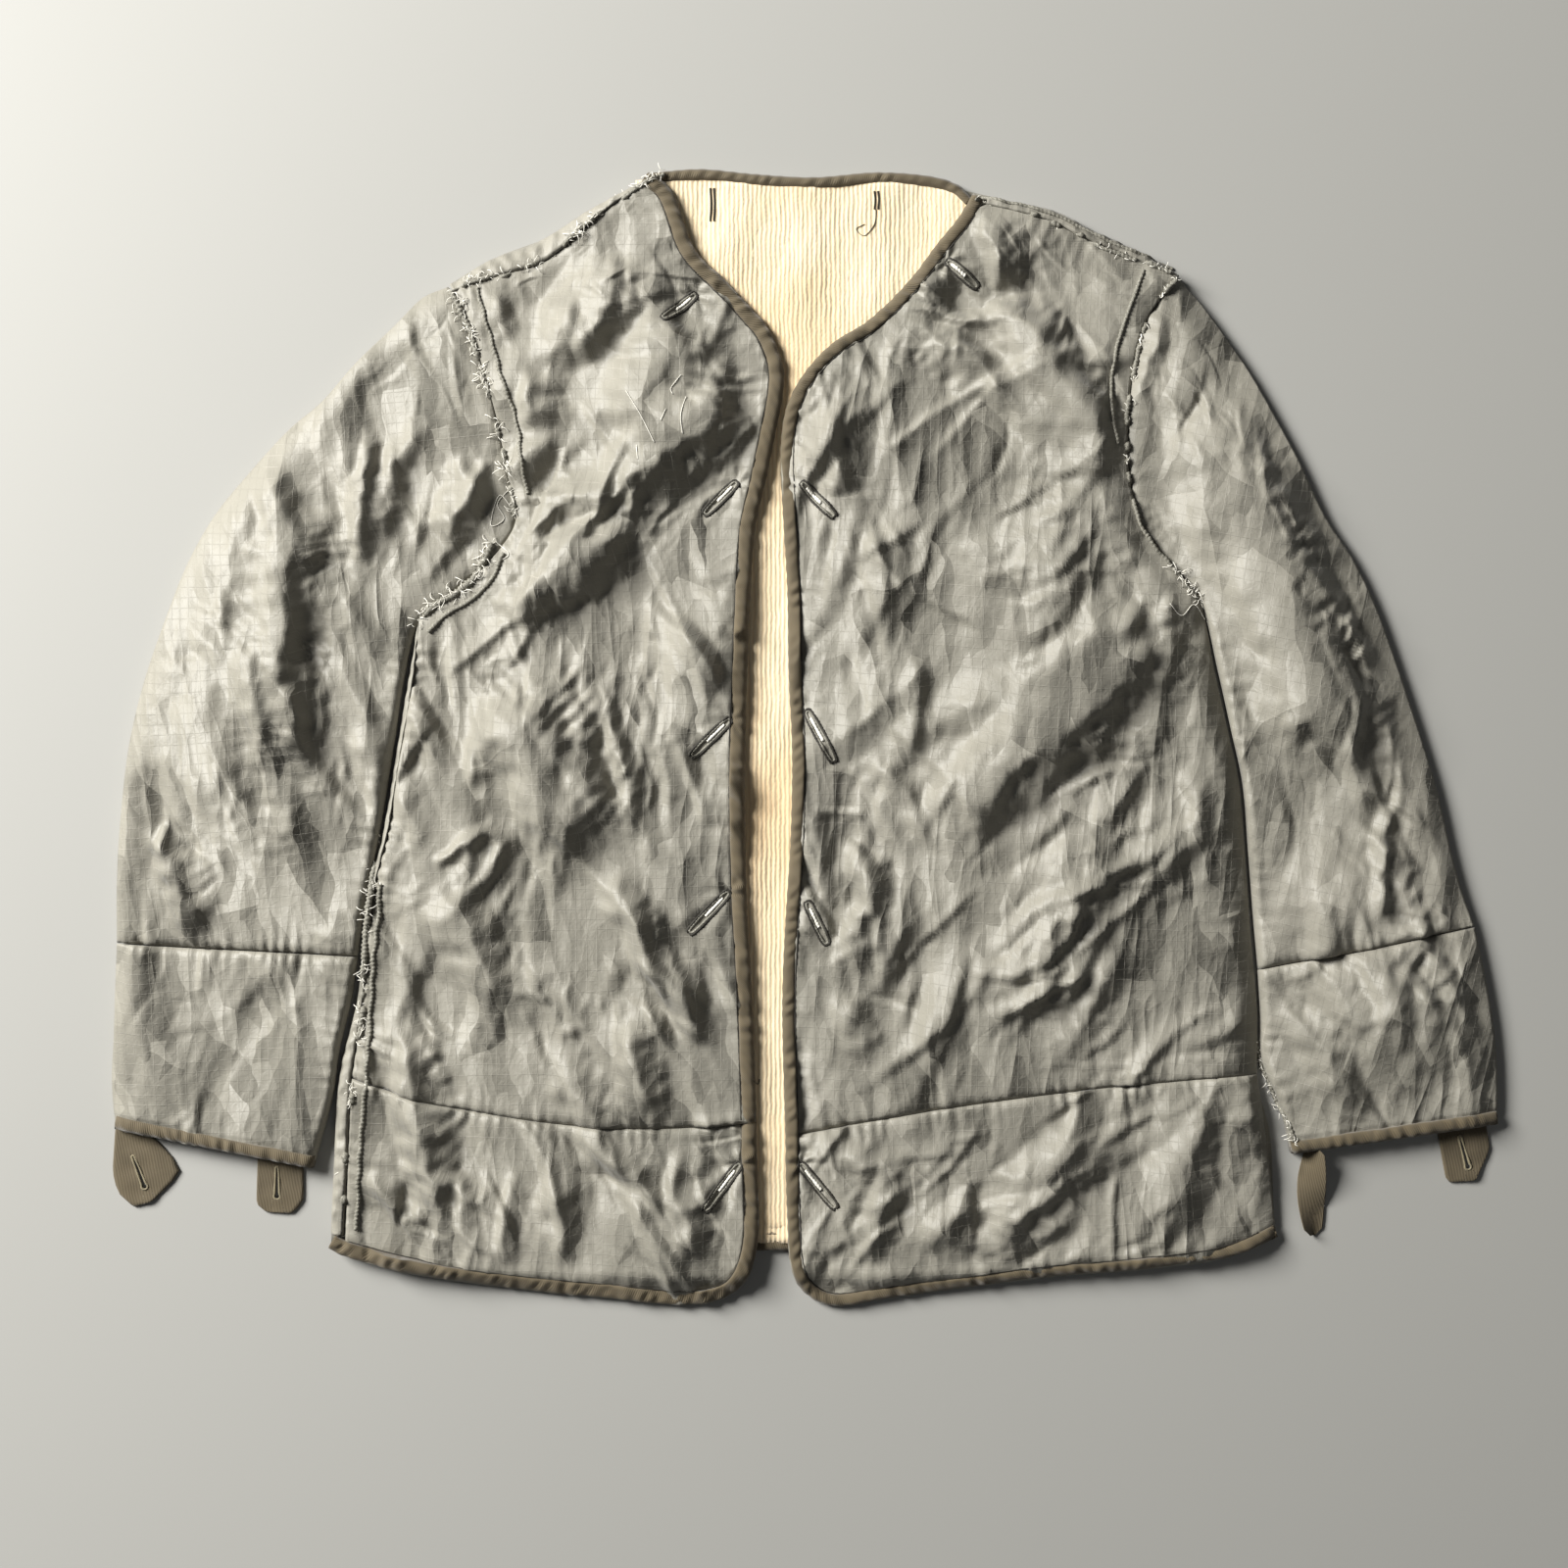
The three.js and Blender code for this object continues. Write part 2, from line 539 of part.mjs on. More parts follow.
/**
 * A hem band: from the cross seam down to its taped hem, which turns up into the free edge.
 * One of its rows follows the edge of the back below it.
 */
function bandGrid(seamRow, bottoms, inward, inner, bulge) {
  const stops = tapeRows(bottoms, inward);
  const first = inner - 1;
  const columns = bottoms.map((_, i) => {
    const share = (i - first) / (bottoms.length - 1 - first);
    const point = i < first ? seamRow[i] : pointAt(seamRow.slice(first), share);
    const start = new THREE.Vector3(point.x, point.y - SEAM_GAP, 0);
    const stop = stops[0][i];
    const shelf = Math.min(0.9, (start.y - heightAt(backHem, stop.x) + HEM_CLEAR) / (start.y - stop.y));
    const evenly = Array.from({ length: BAND_ROWS }, (_, row) => (row / (BAND_ROWS - 1)) * shelf);
    return [...evenly, (1 + shelf) / 2].map((t) => {
      const place = between(start, stop, t);
      place.x += bulge * 4 * t * (1 - t) * (1 - i / (bottoms.length - 1)) ** 3;
      place.foot = bottoms[i].foot;
      return place;
    });
  });
  const rows = columns[0].map((_, row) => columns.map((places) => places[row]));
  return [...rows, ...stops];
}

/** Rows across a sleeve, from its outer to its inner edge. */
function sleeveGrid(outer, inner, columns) {
  const steps = Array.from({ length: columns + 1 }, (_, i) => i / columns);
  return outer.map((point, row) => steps.map((t) => between(point, inner[row], t)));
}

/** A direction made as long as it takes to go 1 mm along another. */
const stretched = (direction, unit) => direction.clone().divideScalar(direction.dot(unit));

/** The inward directions along a cuff; they keep to the sleeve's two edges at its ends. */
function cuffInward(rows) {
  const last = rows[rows.length - 1];
  const before = rows[rows.length - 2];
  const count = last.length - 1;
  const along = last[count].clone().sub(last[0]).normalize();
  const square = new THREE.Vector3(-along.y, along.x, 0).multiplyScalar(Math.sign(along.x));
  const [first, second] = [0, count].map((i) => stretched(before[i].clone().sub(last[i]), square));
  return last.map((_, i) => between(first, second, i / count));
}

/** The inward directions along a hem from its side; they follow the side where it starts. */
function hemInward(hem, normals) {
  return hem.map((point, i) => {
    const turned = smooth((point.distanceTo(hem[0]) - CORNER) / CORNER);
    if (turned === 1) return normals[i];
    return stretched(new THREE.Vector3(0, 1, 0), normals[i]).lerp(normals[i], turned);
  });
}

/** A forearm band: the rows of a sleeve grid, with its last stretch under the cuff's tape. */
function cuffGrid(rows, inward) {
  return [...rows.slice(0, -1), ...tapeRows(rows[rows.length - 1], inward)];
}

/** Bias tape folded over the edge of a cloth: each section wraps both of its sides. */
function tape(points, inward, { under, top, proud }) {
  return sweep(points.map((origin, i) => {
    const low = under(origin);
    const high = top(origin) + proud;
    const quarter = (high - low) / 4;
    return {
      origin,
      across: inward[i],
      profile: [
        [TAPE_WIDTH, high], [0.6, high - 0.2], [0, high - quarter], [0, low + quarter], [0.6, low],
        [TAPE_WIDTH, low], [TAPE_WIDTH, low + TAPE], [TAPE, low + TAPE],
        [TAPE, high - TAPE], [TAPE_WIDTH, high - TAPE],
      ],
    };
  }));
}

/** Bias tape on an edge of the back, with the edge itself inside it. */
function backTape(points, inward) {
  return sweep(points.map((origin, i) => ({
    origin,
    across: inward[i],
    profile: [
      [0.8, 0], [BACK_TAPE_WIDTH, 0], [BACK_TAPE_WIDTH, PILE_TOP], [0.8, PILE_TOP - 0.2], [0, 4.2], [0, 1.2],
    ],
  })));
}

/** Where the back turns over to a seam on top: from the seam round the fold to the underside. */
function turnedEdge(seam, fold) {
  return sweep(seam.map((origin, i) => {
    const across = fold[i].clone().sub(origin);
    const width = across.length();
    const leg = -4;
    return {
      origin,
      across: across.normalize(),
      profile: [
        [0.3, STACK], [0.55 * width, STACK - 0.7], [0.88 * width, STACK - 2.6], [width, STACK / 2],
        [0.88 * width, 2.6], [0.55 * width, 0.7], [0.3, 0], [leg, 0], [leg, SHELL], [0.3, SHELL],
        [0.3, 5.2], [0.5 * width, 5.35], [0.3, 5.55],
      ],
    };
  }));
}

// The back: shell, pile and their tapes

/** The outline of the back, moved in from its edges by the given distances. */
function backOutline(turned) {
  const rightUp = [...rightBody].reverse().filter((point) => point.y > RIGHT_SIDE_END);
  return [
    ...offset(leftShoulder, turned).slice(0, -1),
    ...offset(leftArmhole, SEAM_GAP / 2).slice(1, -1),
    ...offset(leftSeam, turned).slice(1),
    ...offset(backHem, BACK_TAPE_WIDTH + SEAM_GAP),
    ...offset(rightUp, ROLL_REACH + 2),
    ...offset([...rightArmhole].reverse(), SEAM_GAP / 2).slice(2, -1),
    ...offset([...rightShoulder].reverse(), turned).slice(1),
    ...offset([...backNeck].reverse(), BACK_TAPE_WIDTH + SEAM_GAP),
  ];
}

const turns = [
  turnedEdge(leftShoulder.slice(0, -1), column(LEFT_SHOULDER, 'fold').slice(0, -1)),
  turnedEdge(rightShoulder.slice(0, -1), column(RIGHT_SHOULDER, 'fold').slice(0, -1)),
  turnedEdge(leftSeam.slice(1), chain(column(LEFT_SIDE, 'fold'), column(LEFT_BAND_SIDE, 'fold')).slice(1)),
];
const flatShell = toManifold(slab(backOutline(2), 0, SHELL));
const shell = turns.reduce((solid, turn) => solid.add(toManifold(turn)), flatShell);
add('back_shell', fromManifold(shell), NYLON);

/** Ribs of the pile, side by side, where it shows in the neck and between the fronts. */
function ribs() {
  const showing = [
    ...offset(leftEdge, PILE_MARGIN),
    new THREE.Vector3(leftEdge[leftEdge.length - 1].x + PILE_MARGIN, RIB_END, 0),
    new THREE.Vector3(rightEdge[rightEdge.length - 1].x - PILE_MARGIN, RIB_END, 0),
    ...offset([...rightEdge].reverse(), PILE_MARGIN),
    ...offset([...backNeck].reverse(), BACK_TAPE_WIDTH + 2).slice(1, -1),
  ];
  const profile = [new THREE.Vector2(-110, 4.5)];
  for (let x = -110; x < 118; x += RIB_PITCH) {
    profile.push(new THREE.Vector2(x, PILE_TOP - 0.2), new THREE.Vector2(x + 0.4 * RIB_PITCH, RIB_CREST));
    profile.push(new THREE.Vector2(x + 0.65 * RIB_PITCH, RIB_CREST));
  }
  profile.push(new THREE.Vector2(120, 4.5));
  const combed = new THREE.ExtrudeGeometry(new THREE.Shape(profile), { depth: 680, bevelEnabled: false });
  combed.rotateX(Math.PI / 2).translate(0, 350, 0);
  return toManifold(combed).intersect(toManifold(slab(showing, 4, 8)));
}

add('back_pile', fromManifold(toManifold(slab(backOutline(0.4), SHELL + GAP, PILE_TOP)).add(ribs())), PILE);
const neckInward = leftNormals(backNeck).map((normal) => normal.negate());
add('back_neck_binding', backTape(backNeck, neckInward), BROWN_TAPE);
add('back_hem_binding', backTape(backHem, leftNormals(backHem)), BROWN_TAPE);

// The fronts: upper panel, hem band and one tape round neck, front edge, corner and hem

function addFront(side, { shoulder, armhole, down, edge, hem, start, end, near, sag, bulge, turn }) {
  const columns = near.length + COLUMNS;
  const bottoms = hemPoints(hem, near);
  const path = [start, ...edge, ...[...bottoms].reverse(), ...end];
  const normals = leftNormals(path).map((normal) => normal.multiplyScalar(turn));
  const edgeInward = normals.slice(1, 1 + edge.length);
  const corner = 1 + edge.length + bottoms.length;
  const bandInward = hemInward(bottoms, normals.slice(1 + edge.length, corner).reverse());
  const inward = [normals[0], ...edgeInward, ...[...bandInward].reverse(), ...normals.slice(corner)];
  const upper = chain(shoulder, armhole);
  const outer = offset(chain(upper, down), (-turn * SEAM_GAP) / 2);
  const grid = frontGrid(outer, edge, edgeInward, near, sag, upper.length - 1);
  const seamRow = grid[grid.length - 1].slice(0, columns);
  add(`${side}_front`, wall(grid, front), NYLON);
  add(`${side}_hem_band`, wall(bandGrid(seamRow, bottoms, bandInward, near.length, bulge), front), NYLON);
  add(`${side}_front_binding`, tape(path, inward, front), BROWN_TAPE);
}

addFront('left', {
  shoulder: leftShoulder,
  armhole: leftArmhole,
  down: leftSide,
  edge: leftEdge,
  hem: leftHem,
  start: new THREE.Vector3(-83, 339, 0),
  end: [new THREE.Vector3(-288, -314, 0)],
  near: [0],
  sag: LEFT_BAND_SAG,
  bulge: 0,
  turn: -1,
});
addFront('right', {
  shoulder: rightShoulder,
  armhole: rightArmhole,
  down: rightSide,
  edge: rightEdge,
  hem: rightHem,
  start: new THREE.Vector3(100, 322, 0),
  end: [],
  near: [0, ROLL_FOOT, ROLL_REACH],
  sag: RIGHT_BAND_SAG,
  bulge: RIGHT_BAND_BULGE,
  turn: 1,
});

// The sleeves: an upper and a lower half, each with a forearm band and a taped cuff

function addSleeve(side, armhole, sleeve, cuff, outerWidth) {
  const outer = chain(column(armhole, 'outer'), column(sleeve, 'outer'));
  const clear = (side === 'left' ? -SEAM_GAP : SEAM_GAP) / 2;
  const inner = chain(offset(column(armhole, 'seam'), clear), column(sleeve, 'inner'));
  const cuffOuter = column(cuff, 'outer');
  const cuffInner = column(cuff, 'inner');
  const lowEdge = [cuffOuter[cuffOuter.length - 1], cuffInner[cuffInner.length - 1]];
  const innerEdge = chain(column(sleeve, 'inner'), cuffInner);
  const halves = sleeveHalves(chain(outer, cuffOuter), innerEdge, lowEdge, outerWidth);
  for (const [half, columns] of [['top', SLEEVE_COLUMNS], ['under', UNDER_COLUMNS]]) {
    const heights = half === 'top' ? halves.upper : halves.lower;
    const upperRows = sleeveGrid(outer, inner, columns);
    const bandRows = sleeveGrid(cuffOuter, cuffInner, columns);
    upperRows[upperRows.length - 1].forEach((place) => place.setY(place.y + SEAM_GAP / 2));
    bandRows[0].forEach((place) => place.setY(place.y - SEAM_GAP / 2));
    const inward = cuffInward(bandRows);
    add(`${side}_sleeve_${half}`, wall(upperRows, heights), NYLON);
    add(`${side}_cuff_band_${half}`, wall(cuffGrid(bandRows, inward), heights), NYLON);
    add(`${side}_cuff_binding_${half}`, tape(bandRows[bandRows.length - 1], inward, heights), BROWN_TAPE);
  }
}

addSleeve('left', LEFT_ARMHOLE, LEFT_SLEEVE, LEFT_CUFF, LEFT_OUTER_ROUND);
addSleeve('right', RIGHT_ARMHOLE, RIGHT_SLEEVE, RIGHT_CUFF, RIGHT_OUTER_ROUND);

// The cuff tabs: doubled tape with a keyhole buttonhole

/** A buttonhole: a slit that ends in a round eye. */
function keyhole([fromX, fromY], [toX, toY]) {
  const slit = 0.8;
  const eye = 2;
  const angle = Math.atan2(fromY - toY, fromX - toX);
  const open = Math.asin(slit / eye);
  const hole = new THREE.Path();
  hole.absarc(toX, toY, eye, angle + open, angle - open + 2 * Math.PI, false);
  hole.absarc(fromX, fromY, slit, angle - Math.PI / 2, angle + Math.PI / 2, false);
  return hole;
}

function addTab(name, outline, slitStart, slitEnd) {
  const points = outline.map(([x, y]) => new THREE.Vector2(x, y));
  add(name, slab(points, 0, TAB_THICK, [keyhole(slitStart, slitEnd)]), BROWN_TAPE);
}

const LEFT_OUTER_TAB = [
  [-420, -239.6], [-402, -243], [-386, -256], [-380, -267], [-398, -285], [-409, -288], [-419, -279], [-422, -266],
];
const LEFT_INNER_TAB = [
  [-333, -256.5], [-305, -262.2], [-305, -284], [-312, -292], [-328, -291], [-334, -286],
];
const RIGHT_OUTER_TAB = [
  [388, -241.5], [418, -237.4], [421, -252], [418, -259], [412, -272], [394, -273],
];
addTab('left_outer_tab', LEFT_OUTER_TAB, [-409, -257], [-402, -274]);
addTab('left_inner_tab', LEFT_INNER_TAB, [-321, -264], [-321, -281]);
addTab('right_outer_tab', RIGHT_OUTER_TAB, [401, -246], [407, -262]);

/** The right inner tab lies twisted: flat at the cuff and nearly on its edge at its end. */
function twistedTab() {
  const width = 26;
  const sections = Array.from({ length: 21 }, (_, i) => {
    const t = i / 20;
    const tilt = THREE.MathUtils.degToRad(10 + 62 * smooth(1.5 * t));
    const half = width / 2;
    const middle = half * Math.sin(tilt) + TAB_THICK / 2 * Math.cos(tilt);
    const corner = (reach, side) => [
      reach * Math.cos(tilt) - (side * TAB_THICK / 2) * Math.sin(tilt),
      middle + reach * Math.sin(tilt) + (side * TAB_THICK / 2) * Math.cos(tilt),
    ];
    return {
      origin: new THREE.Vector3(313 - 3 * Math.sin(Math.PI * t), -252.3 - 50 * t, 0),
      across: new THREE.Vector3(0.99, 0.137, 0),
      profile: [corner(-half, -1), corner(half, -1), corner(half, 1), corner(-half, 1)],
    };
  });
  return sweep(sections);
}

add('right_inner_tab', twistedTab(), BROWN_TAPE);

export default liner;
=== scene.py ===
import math

import bmesh
import bpy
import numpy as np
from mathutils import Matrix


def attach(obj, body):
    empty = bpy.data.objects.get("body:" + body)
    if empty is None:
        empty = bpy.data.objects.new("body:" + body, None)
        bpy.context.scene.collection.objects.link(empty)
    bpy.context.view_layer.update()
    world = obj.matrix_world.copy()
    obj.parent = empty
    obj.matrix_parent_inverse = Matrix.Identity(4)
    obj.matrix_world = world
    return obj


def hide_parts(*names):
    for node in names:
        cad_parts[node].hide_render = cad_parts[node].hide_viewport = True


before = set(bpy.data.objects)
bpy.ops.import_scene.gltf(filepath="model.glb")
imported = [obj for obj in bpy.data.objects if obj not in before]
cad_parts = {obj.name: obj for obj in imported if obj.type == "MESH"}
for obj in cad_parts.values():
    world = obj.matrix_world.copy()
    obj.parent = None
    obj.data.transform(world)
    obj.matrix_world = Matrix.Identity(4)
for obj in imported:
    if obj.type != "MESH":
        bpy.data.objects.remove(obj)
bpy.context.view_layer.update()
scene = bpy.context.scene


# The studio. The photograph looks straight down on the liner from about 1.3 m, with soft light
# from the upper left that leaves every slope to the lower right dark. The floor is a plain pale
# board in place of the grass.
camera_lens = bpy.data.cameras.new("overhead_camera")
camera_lens.sensor_width = 36
camera_lens.lens = 48.75  # 960 mm of floor across the picture
camera = bpy.data.objects.new("overhead_camera", camera_lens)
camera.location = (-0.0111, -0.0291, 1.3)
scene.collection.objects.link(camera)
scene.camera = camera

LIGHTS = [
    ("window", 1.3, (-2.2, 1.3, 1.62), 256, (1.0, 0.992, 0.972)),
    ("reflector", 1.2, (0.6, -0.4, 2.2), 2.5, (0.98, 0.985, 1.0)),
]
for name, size, place, power, tint in LIGHTS:
    lamp_data = bpy.data.lights.new(name, "AREA")
    lamp_data.shape = "SQUARE"
    lamp_data.size = size
    lamp_data.energy = power
    lamp_data.color = tint
    lamp = bpy.data.objects.new(name, lamp_data)
    lamp.location = place
    lamp.rotation_euler = (-lamp.location).to_track_quat("-Z", "Y").to_euler()
    scene.collection.objects.link(lamp)

world = bpy.data.worlds.new("studio")
world.use_nodes = True
world.node_tree.nodes["Background"].inputs["Color"].default_value = (0.9, 0.93, 0.96, 1)
world.node_tree.nodes["Background"].inputs["Strength"].default_value = 0.05
scene.world = world
scene.view_settings.view_transform = "Standard"


def linear(colour):
    """An sRGB hex colour as linear red, green, blue and alpha."""
    parts = [int(colour[i:i + 2], 16) / 255 for i in (1, 3, 5)]
    return (*[c / 12.92 if c <= 0.04045 else ((c + 0.055) / 1.055) ** 2.4 for c in parts], 1)


def add_node(tree, kind, inputs=None, **settings):
    """Adds a node with its settings; an input is a value or the output that feeds it."""
    made = tree.nodes.new(kind)
    for key, value in settings.items():
        setattr(made, key, value)
    for key, value in (inputs or {}).items():
        if isinstance(value, bpy.types.NodeSocket):
            tree.links.new(value, made.inputs[key])
        else:
            made.inputs[key].default_value = value
    return made


def new_finish(name):
    """An empty material with its node tree."""
    finish = bpy.data.materials.new(name)
    finish.use_nodes = True
    finish.node_tree.nodes.clear()
    return finish, finish.node_tree


painted_board, tree = new_finish("painted_board")
grain = add_node(tree, "ShaderNodeTexNoise", {"Scale": 3.0, "Detail": 3.0})
shade = add_node(tree, "ShaderNodeMix", {0: grain.outputs["Fac"], 6: linear("#9b9a95"), 7: linear("#a3a29d")},
                 data_type="RGBA")
shader = add_node(tree, "ShaderNodeBsdfPrincipled", {"Base Color": shade.outputs[2], "Roughness": 0.75})
add_node(tree, "ShaderNodeOutputMaterial", {"Surface": shader.outputs["BSDF"]})

floor_mesh = bpy.data.meshes.new("floor")
floor_mesh.from_pydata([(-3, -3, -0.0003), (3, -3, -0.0003), (3, 3, -0.0003), (-3, 3, -0.0003)], [],
                       [(0, 1, 2, 3)])
floor_mesh.materials.append(painted_board)
floor = bpy.data.objects.new("floor", floor_mesh)
scene.collection.objects.link(floor)


# The back: one layer of ripstop nylon that lies on the floor. It is wider than the front, so it
# turns over along the left side and both shoulders, up to the seams that show on top.
LEFT_SHOULDER = [
    (-97, 336, -79, 331, -99, 338), (-125, 315, -68, 301, -131, 321), (-155, 289, -59, 288, -160, 303),
    (-185, 279, -51, 281, -191, 291), (-212, 270, -44, 274, -215, 276),
]  # each row: seam x and y, front edge x and y, fold x and y
RIGHT_SHOULDER = [
    (112, 323, 95, 315, 113, 329), (148, 314, 82, 299, 151, 322), (173, 302, 68, 280, 176, 310),
    (202, 290, 58, 269, 205, 296), (228, 278, 51, 262, 230, 281),
]
LEFT_ARMHOLE = [
    (-212, 270, -44, 274, -216, 274), (-201, 246, -30, 259, -232, 267), (-194, 222, -20, 247, -249, 250),
    (-186, 193, -12, 226, -272, 228), (-180, 163, -12, 208, -293, 204), (-174, 133, -16, 187, -313, 187),
    (-186, 111, -22, 157, -336, 162), (-209, 90, -27, 136, -358, 135), (-233, 69, -30, 115, -375, 105),
]  # seam, front edge, outer edge of the sleeve
RIGHT_ARMHOLE = [
    (228, 278, 51, 262, 232, 276), (218, 266, 38, 251, 244, 262), (207, 247, 23, 242, 259, 242),
    (201, 220, 12, 233, 274, 220), (198, 187, 1, 220, 289, 194), (199, 157, -6, 208, 304, 166),
    (207, 127, -11, 193, 319, 134), (224, 105, -13, 169, 336, 108), (243, 82, -12, 142, 350, 79),
]
LEFT_SIDE = [
    (-233, 69, -30, 115, -234, 67), (-237, 31, -33, 55, -241, 31), (-245, -17, -35, -5, -249, -18),
    (-252, -59, -35, -59, -256, -60), (-260, -92, -34, -101, -264, -93), (-264, -125, -32, -134, -268, -126),
    (-267, -161, -30, -173, -272, -162), (-274, -208, -28, -235, -283, -208),
]
RIGHT_SIDE = [
    (243, 82, -12, 142), (252, 40, -9, 91), (260, 4, -8, 37), (267, -29, -6, -11), (271, -77, -7, -65),
    (274, -119, -10, -113), (278, -167, -12, -167), (278, -206, -10, -244),
]
LEFT_FOLD_END = [(-286, -257), (-288, -303.5)]
LEFT_SEAM_END = [(-276.5, -257), (-278.9, -303.5)]
BACK_NECK = [(-94, 343.5), (-62, 346), (-29, 343), (7, 341), (45, 344), (76, 342), (94, 337), (104, 328)]
BACK_HEM = [(-274, -309.5), (-155, -312), (-19, -314), (133, -310), (281, -299)]
SHELL = 1.5  # nylon of the back
STACK = 10.8  # back and front together


def spline(rows, steps=10):
    """A smooth curve through the rows, with that many points to each stretch."""
    rows = np.asarray(rows, float)
    ends = np.vstack([2 * rows[0] - rows[1], rows, 2 * rows[-1] - rows[-2]])
    t = np.arange(steps)[:, None] / steps
    stretches = [
        b + 0.5 * ((c - a) * t + (2 * a - 5 * b + 4 * c - d) * t ** 2 + (3 * b - a - 3 * c + d) * t ** 3)
        for a, b, c, d in zip(ends, ends[1:], ends[2:], ends[3:])
    ]
    return np.vstack([*stretches, rows[-1:]])


def spaced(run, pitch):
    """The same curve with its points a pitch apart, along the mean of its runs of x and y."""
    steps = np.diff(run, axis=0)
    lengths = sum(np.hypot(steps[:, i], steps[:, i + 1]) for i in range(0, run.shape[1] - 1, 2))
    along = np.concatenate([[0], np.cumsum(lengths / (run.shape[1] // 2))])
    marks = np.linspace(0, along[-1], max(2, round(along[-1] / pitch) + 1))
    return np.column_stack([np.interp(marks, along, column) for column in run.T])


def smooth(t):
    """A soft step from 0 to 1."""
    t = np.clip(t, 0, 1)
    return t * t * (3 - 2 * t)


FULL_TURN = 6.283  # radians


def swell(x, y, size, seed):
    """A gentle uneven field between about -1 and 1, with hills of that size in millimetres."""
    chance = np.random.default_rng(seed)
    total = np.zeros(np.shape(x))
    for _ in range(6):
        turn, pace = chance.uniform(0, FULL_TURN), chance.uniform(0.7, 1.4)
        shift = chance.uniform(0, FULL_TURN)
        total += np.sin((x * math.cos(turn) + y * math.sin(turn)) * FULL_TURN * pace / size + shift)
    return total / 3


def nearest(run, x, y):
    """Distance from a run, how far along it the nearest point is, and the side: 1 left, -1 right."""
    best = np.full(np.shape(x), 1e9)
    along = np.zeros(np.shape(x))
    side = np.ones(np.shape(x))
    passed = 0.0
    for (ax, ay), (bx, by) in zip(run[:-1], run[1:]):
        ux, uy = bx - ax, by - ay
        length = math.hypot(ux, uy)
        if length < 1e-6:
            continue
        t = np.clip(((x - ax) * ux + (y - ay) * uy) / length ** 2, 0, 1)
        dx, dy = x - ax - t * ux, y - ay - t * uy
        reach = np.hypot(dx, dy)
        closer = reach < best
        best = np.where(closer, reach, best)
        along = np.where(closer, passed + t * length, along)
        side = np.where(closer, np.where(ux * dy - uy * dx > 0, 1, -1), side)
        passed += length
    return best, along, side


def crinkle(x, y, size, steep, slant, stretch, seed):
    """Flat facets with sharp creases between them, as in cloth that was balled up.
    size: width of a facet; steep: change of slope at a crease; slant, stretch: lie of the creases."""
    u = (x * math.cos(slant) + y * math.sin(slant)) / size
    v = (y * math.cos(slant) - x * math.sin(slant)) / (size * stretch)
    i, j = np.floor(u).astype(int), np.floor(v).astype(int)
    chance = np.random.default_rng(seed)
    total = np.zeros(np.shape(x))
    for way in (1, -1):
        table = chance.random((64, 64, 3))
        highest = np.full(np.shape(x), -1e9)
        for di in (-2, -1, 0, 1, 2):
            for dj in (-2, -1, 0, 1, 2):
                spot = table[(i + di) % 64, (j + dj) % 64]
                away = (u - i - di - spot[..., 0]) ** 2 + (v - j - dj - spot[..., 1]) ** 2
                highest = np.maximum(highest, 0.5 * spot[..., 2] - away)
        total += way * highest
    return total * steep * size / 2


def strokes(x, y, flow, count, sizes, steep, spread, seed):
    """Straight creases thrown over the cloth: each is a thin ridge, gentle on one slope and steep on
    the other. flow: places with the way the creases run there, in radians; sizes: shortest and
    longest; steep: mean slope; spread: how far they stray from the flow."""
    chance = np.random.default_rng(seed)
    flow = np.asarray(flow, float)
    low, high = np.array([x.min(), y.min()]), np.array([x.max(), y.max()])
    total = np.zeros(np.shape(x))
    for _ in range(count):
        spot = chance.uniform(low, high)
        pull = 1 / (np.hypot(*(flow[:, :2] - spot).T) + 12) ** 2
        drawn = [(pull * part(2 * flow[:, 2])).sum() for part in (np.sin, np.cos)]
        turn = 0.5 * math.atan2(*drawn)
        turn += chance.normal(0, spread)
        length = sizes[0] * (sizes[1] / sizes[0]) ** chance.random()
        wide = length * chance.uniform(0.09, 0.2)
        near = (np.abs(x - spot[0]) < length * 0.6) & (np.abs(y - spot[1]) < length * 0.6)
        along = (x[near] - spot[0]) * math.cos(turn) + (y[near] - spot[1]) * math.sin(turn)
        across = (y[near] - spot[1]) * math.cos(turn) - (x[near] - spot[0]) * math.sin(turn)
        across = across + chance.uniform(-0.5, 0.5) * along ** 2 / length
        sharp = chance.uniform(0.25, 0.6) * wide
        shape = np.clip(1 - np.where(across > 0, across / wide, -across / sharp), 0, 1)
        fade = np.clip(1 - (2 * along / length) ** 2, 0, 1)
        rise = steep * chance.uniform(0.5, 1.5) * wide * chance.choice([1, 1, -0.8])
        total[near] += rise * shape * fade
    return total


def grid_faces(rows, columns, wrap=False):
    """The faces of a grid of points; wrap joins the last column to the first."""
    index = np.arange(rows * columns).reshape(rows, columns)
    if wrap:
        index = np.column_stack([index, index[:, 0]])
    return np.stack([index[:-1, :-1], index[1:, :-1], index[1:, 1:], index[:-1, 1:]], -1).reshape(-1, 4)


def walled(top, under, faces):
    """An upper and a lower layer of points with the same faces, closed by a rim at every open edge."""
    count = len(top)
    edges = np.concatenate([faces[:, [i, (i + 1) % 4]] for i in range(4)])
    key = edges.min(1) * count + edges.max(1)
    _, first, uses = np.unique(key, return_index=True, return_counts=True)
    rim = edges[first[uses == 1]]
    walls = np.column_stack([rim[:, 1], rim[:, 0], rim[:, 0] + count, rim[:, 1] + count])
    return np.vstack([top, under]), np.vstack([faces, faces[:, ::-1] + count, walls])


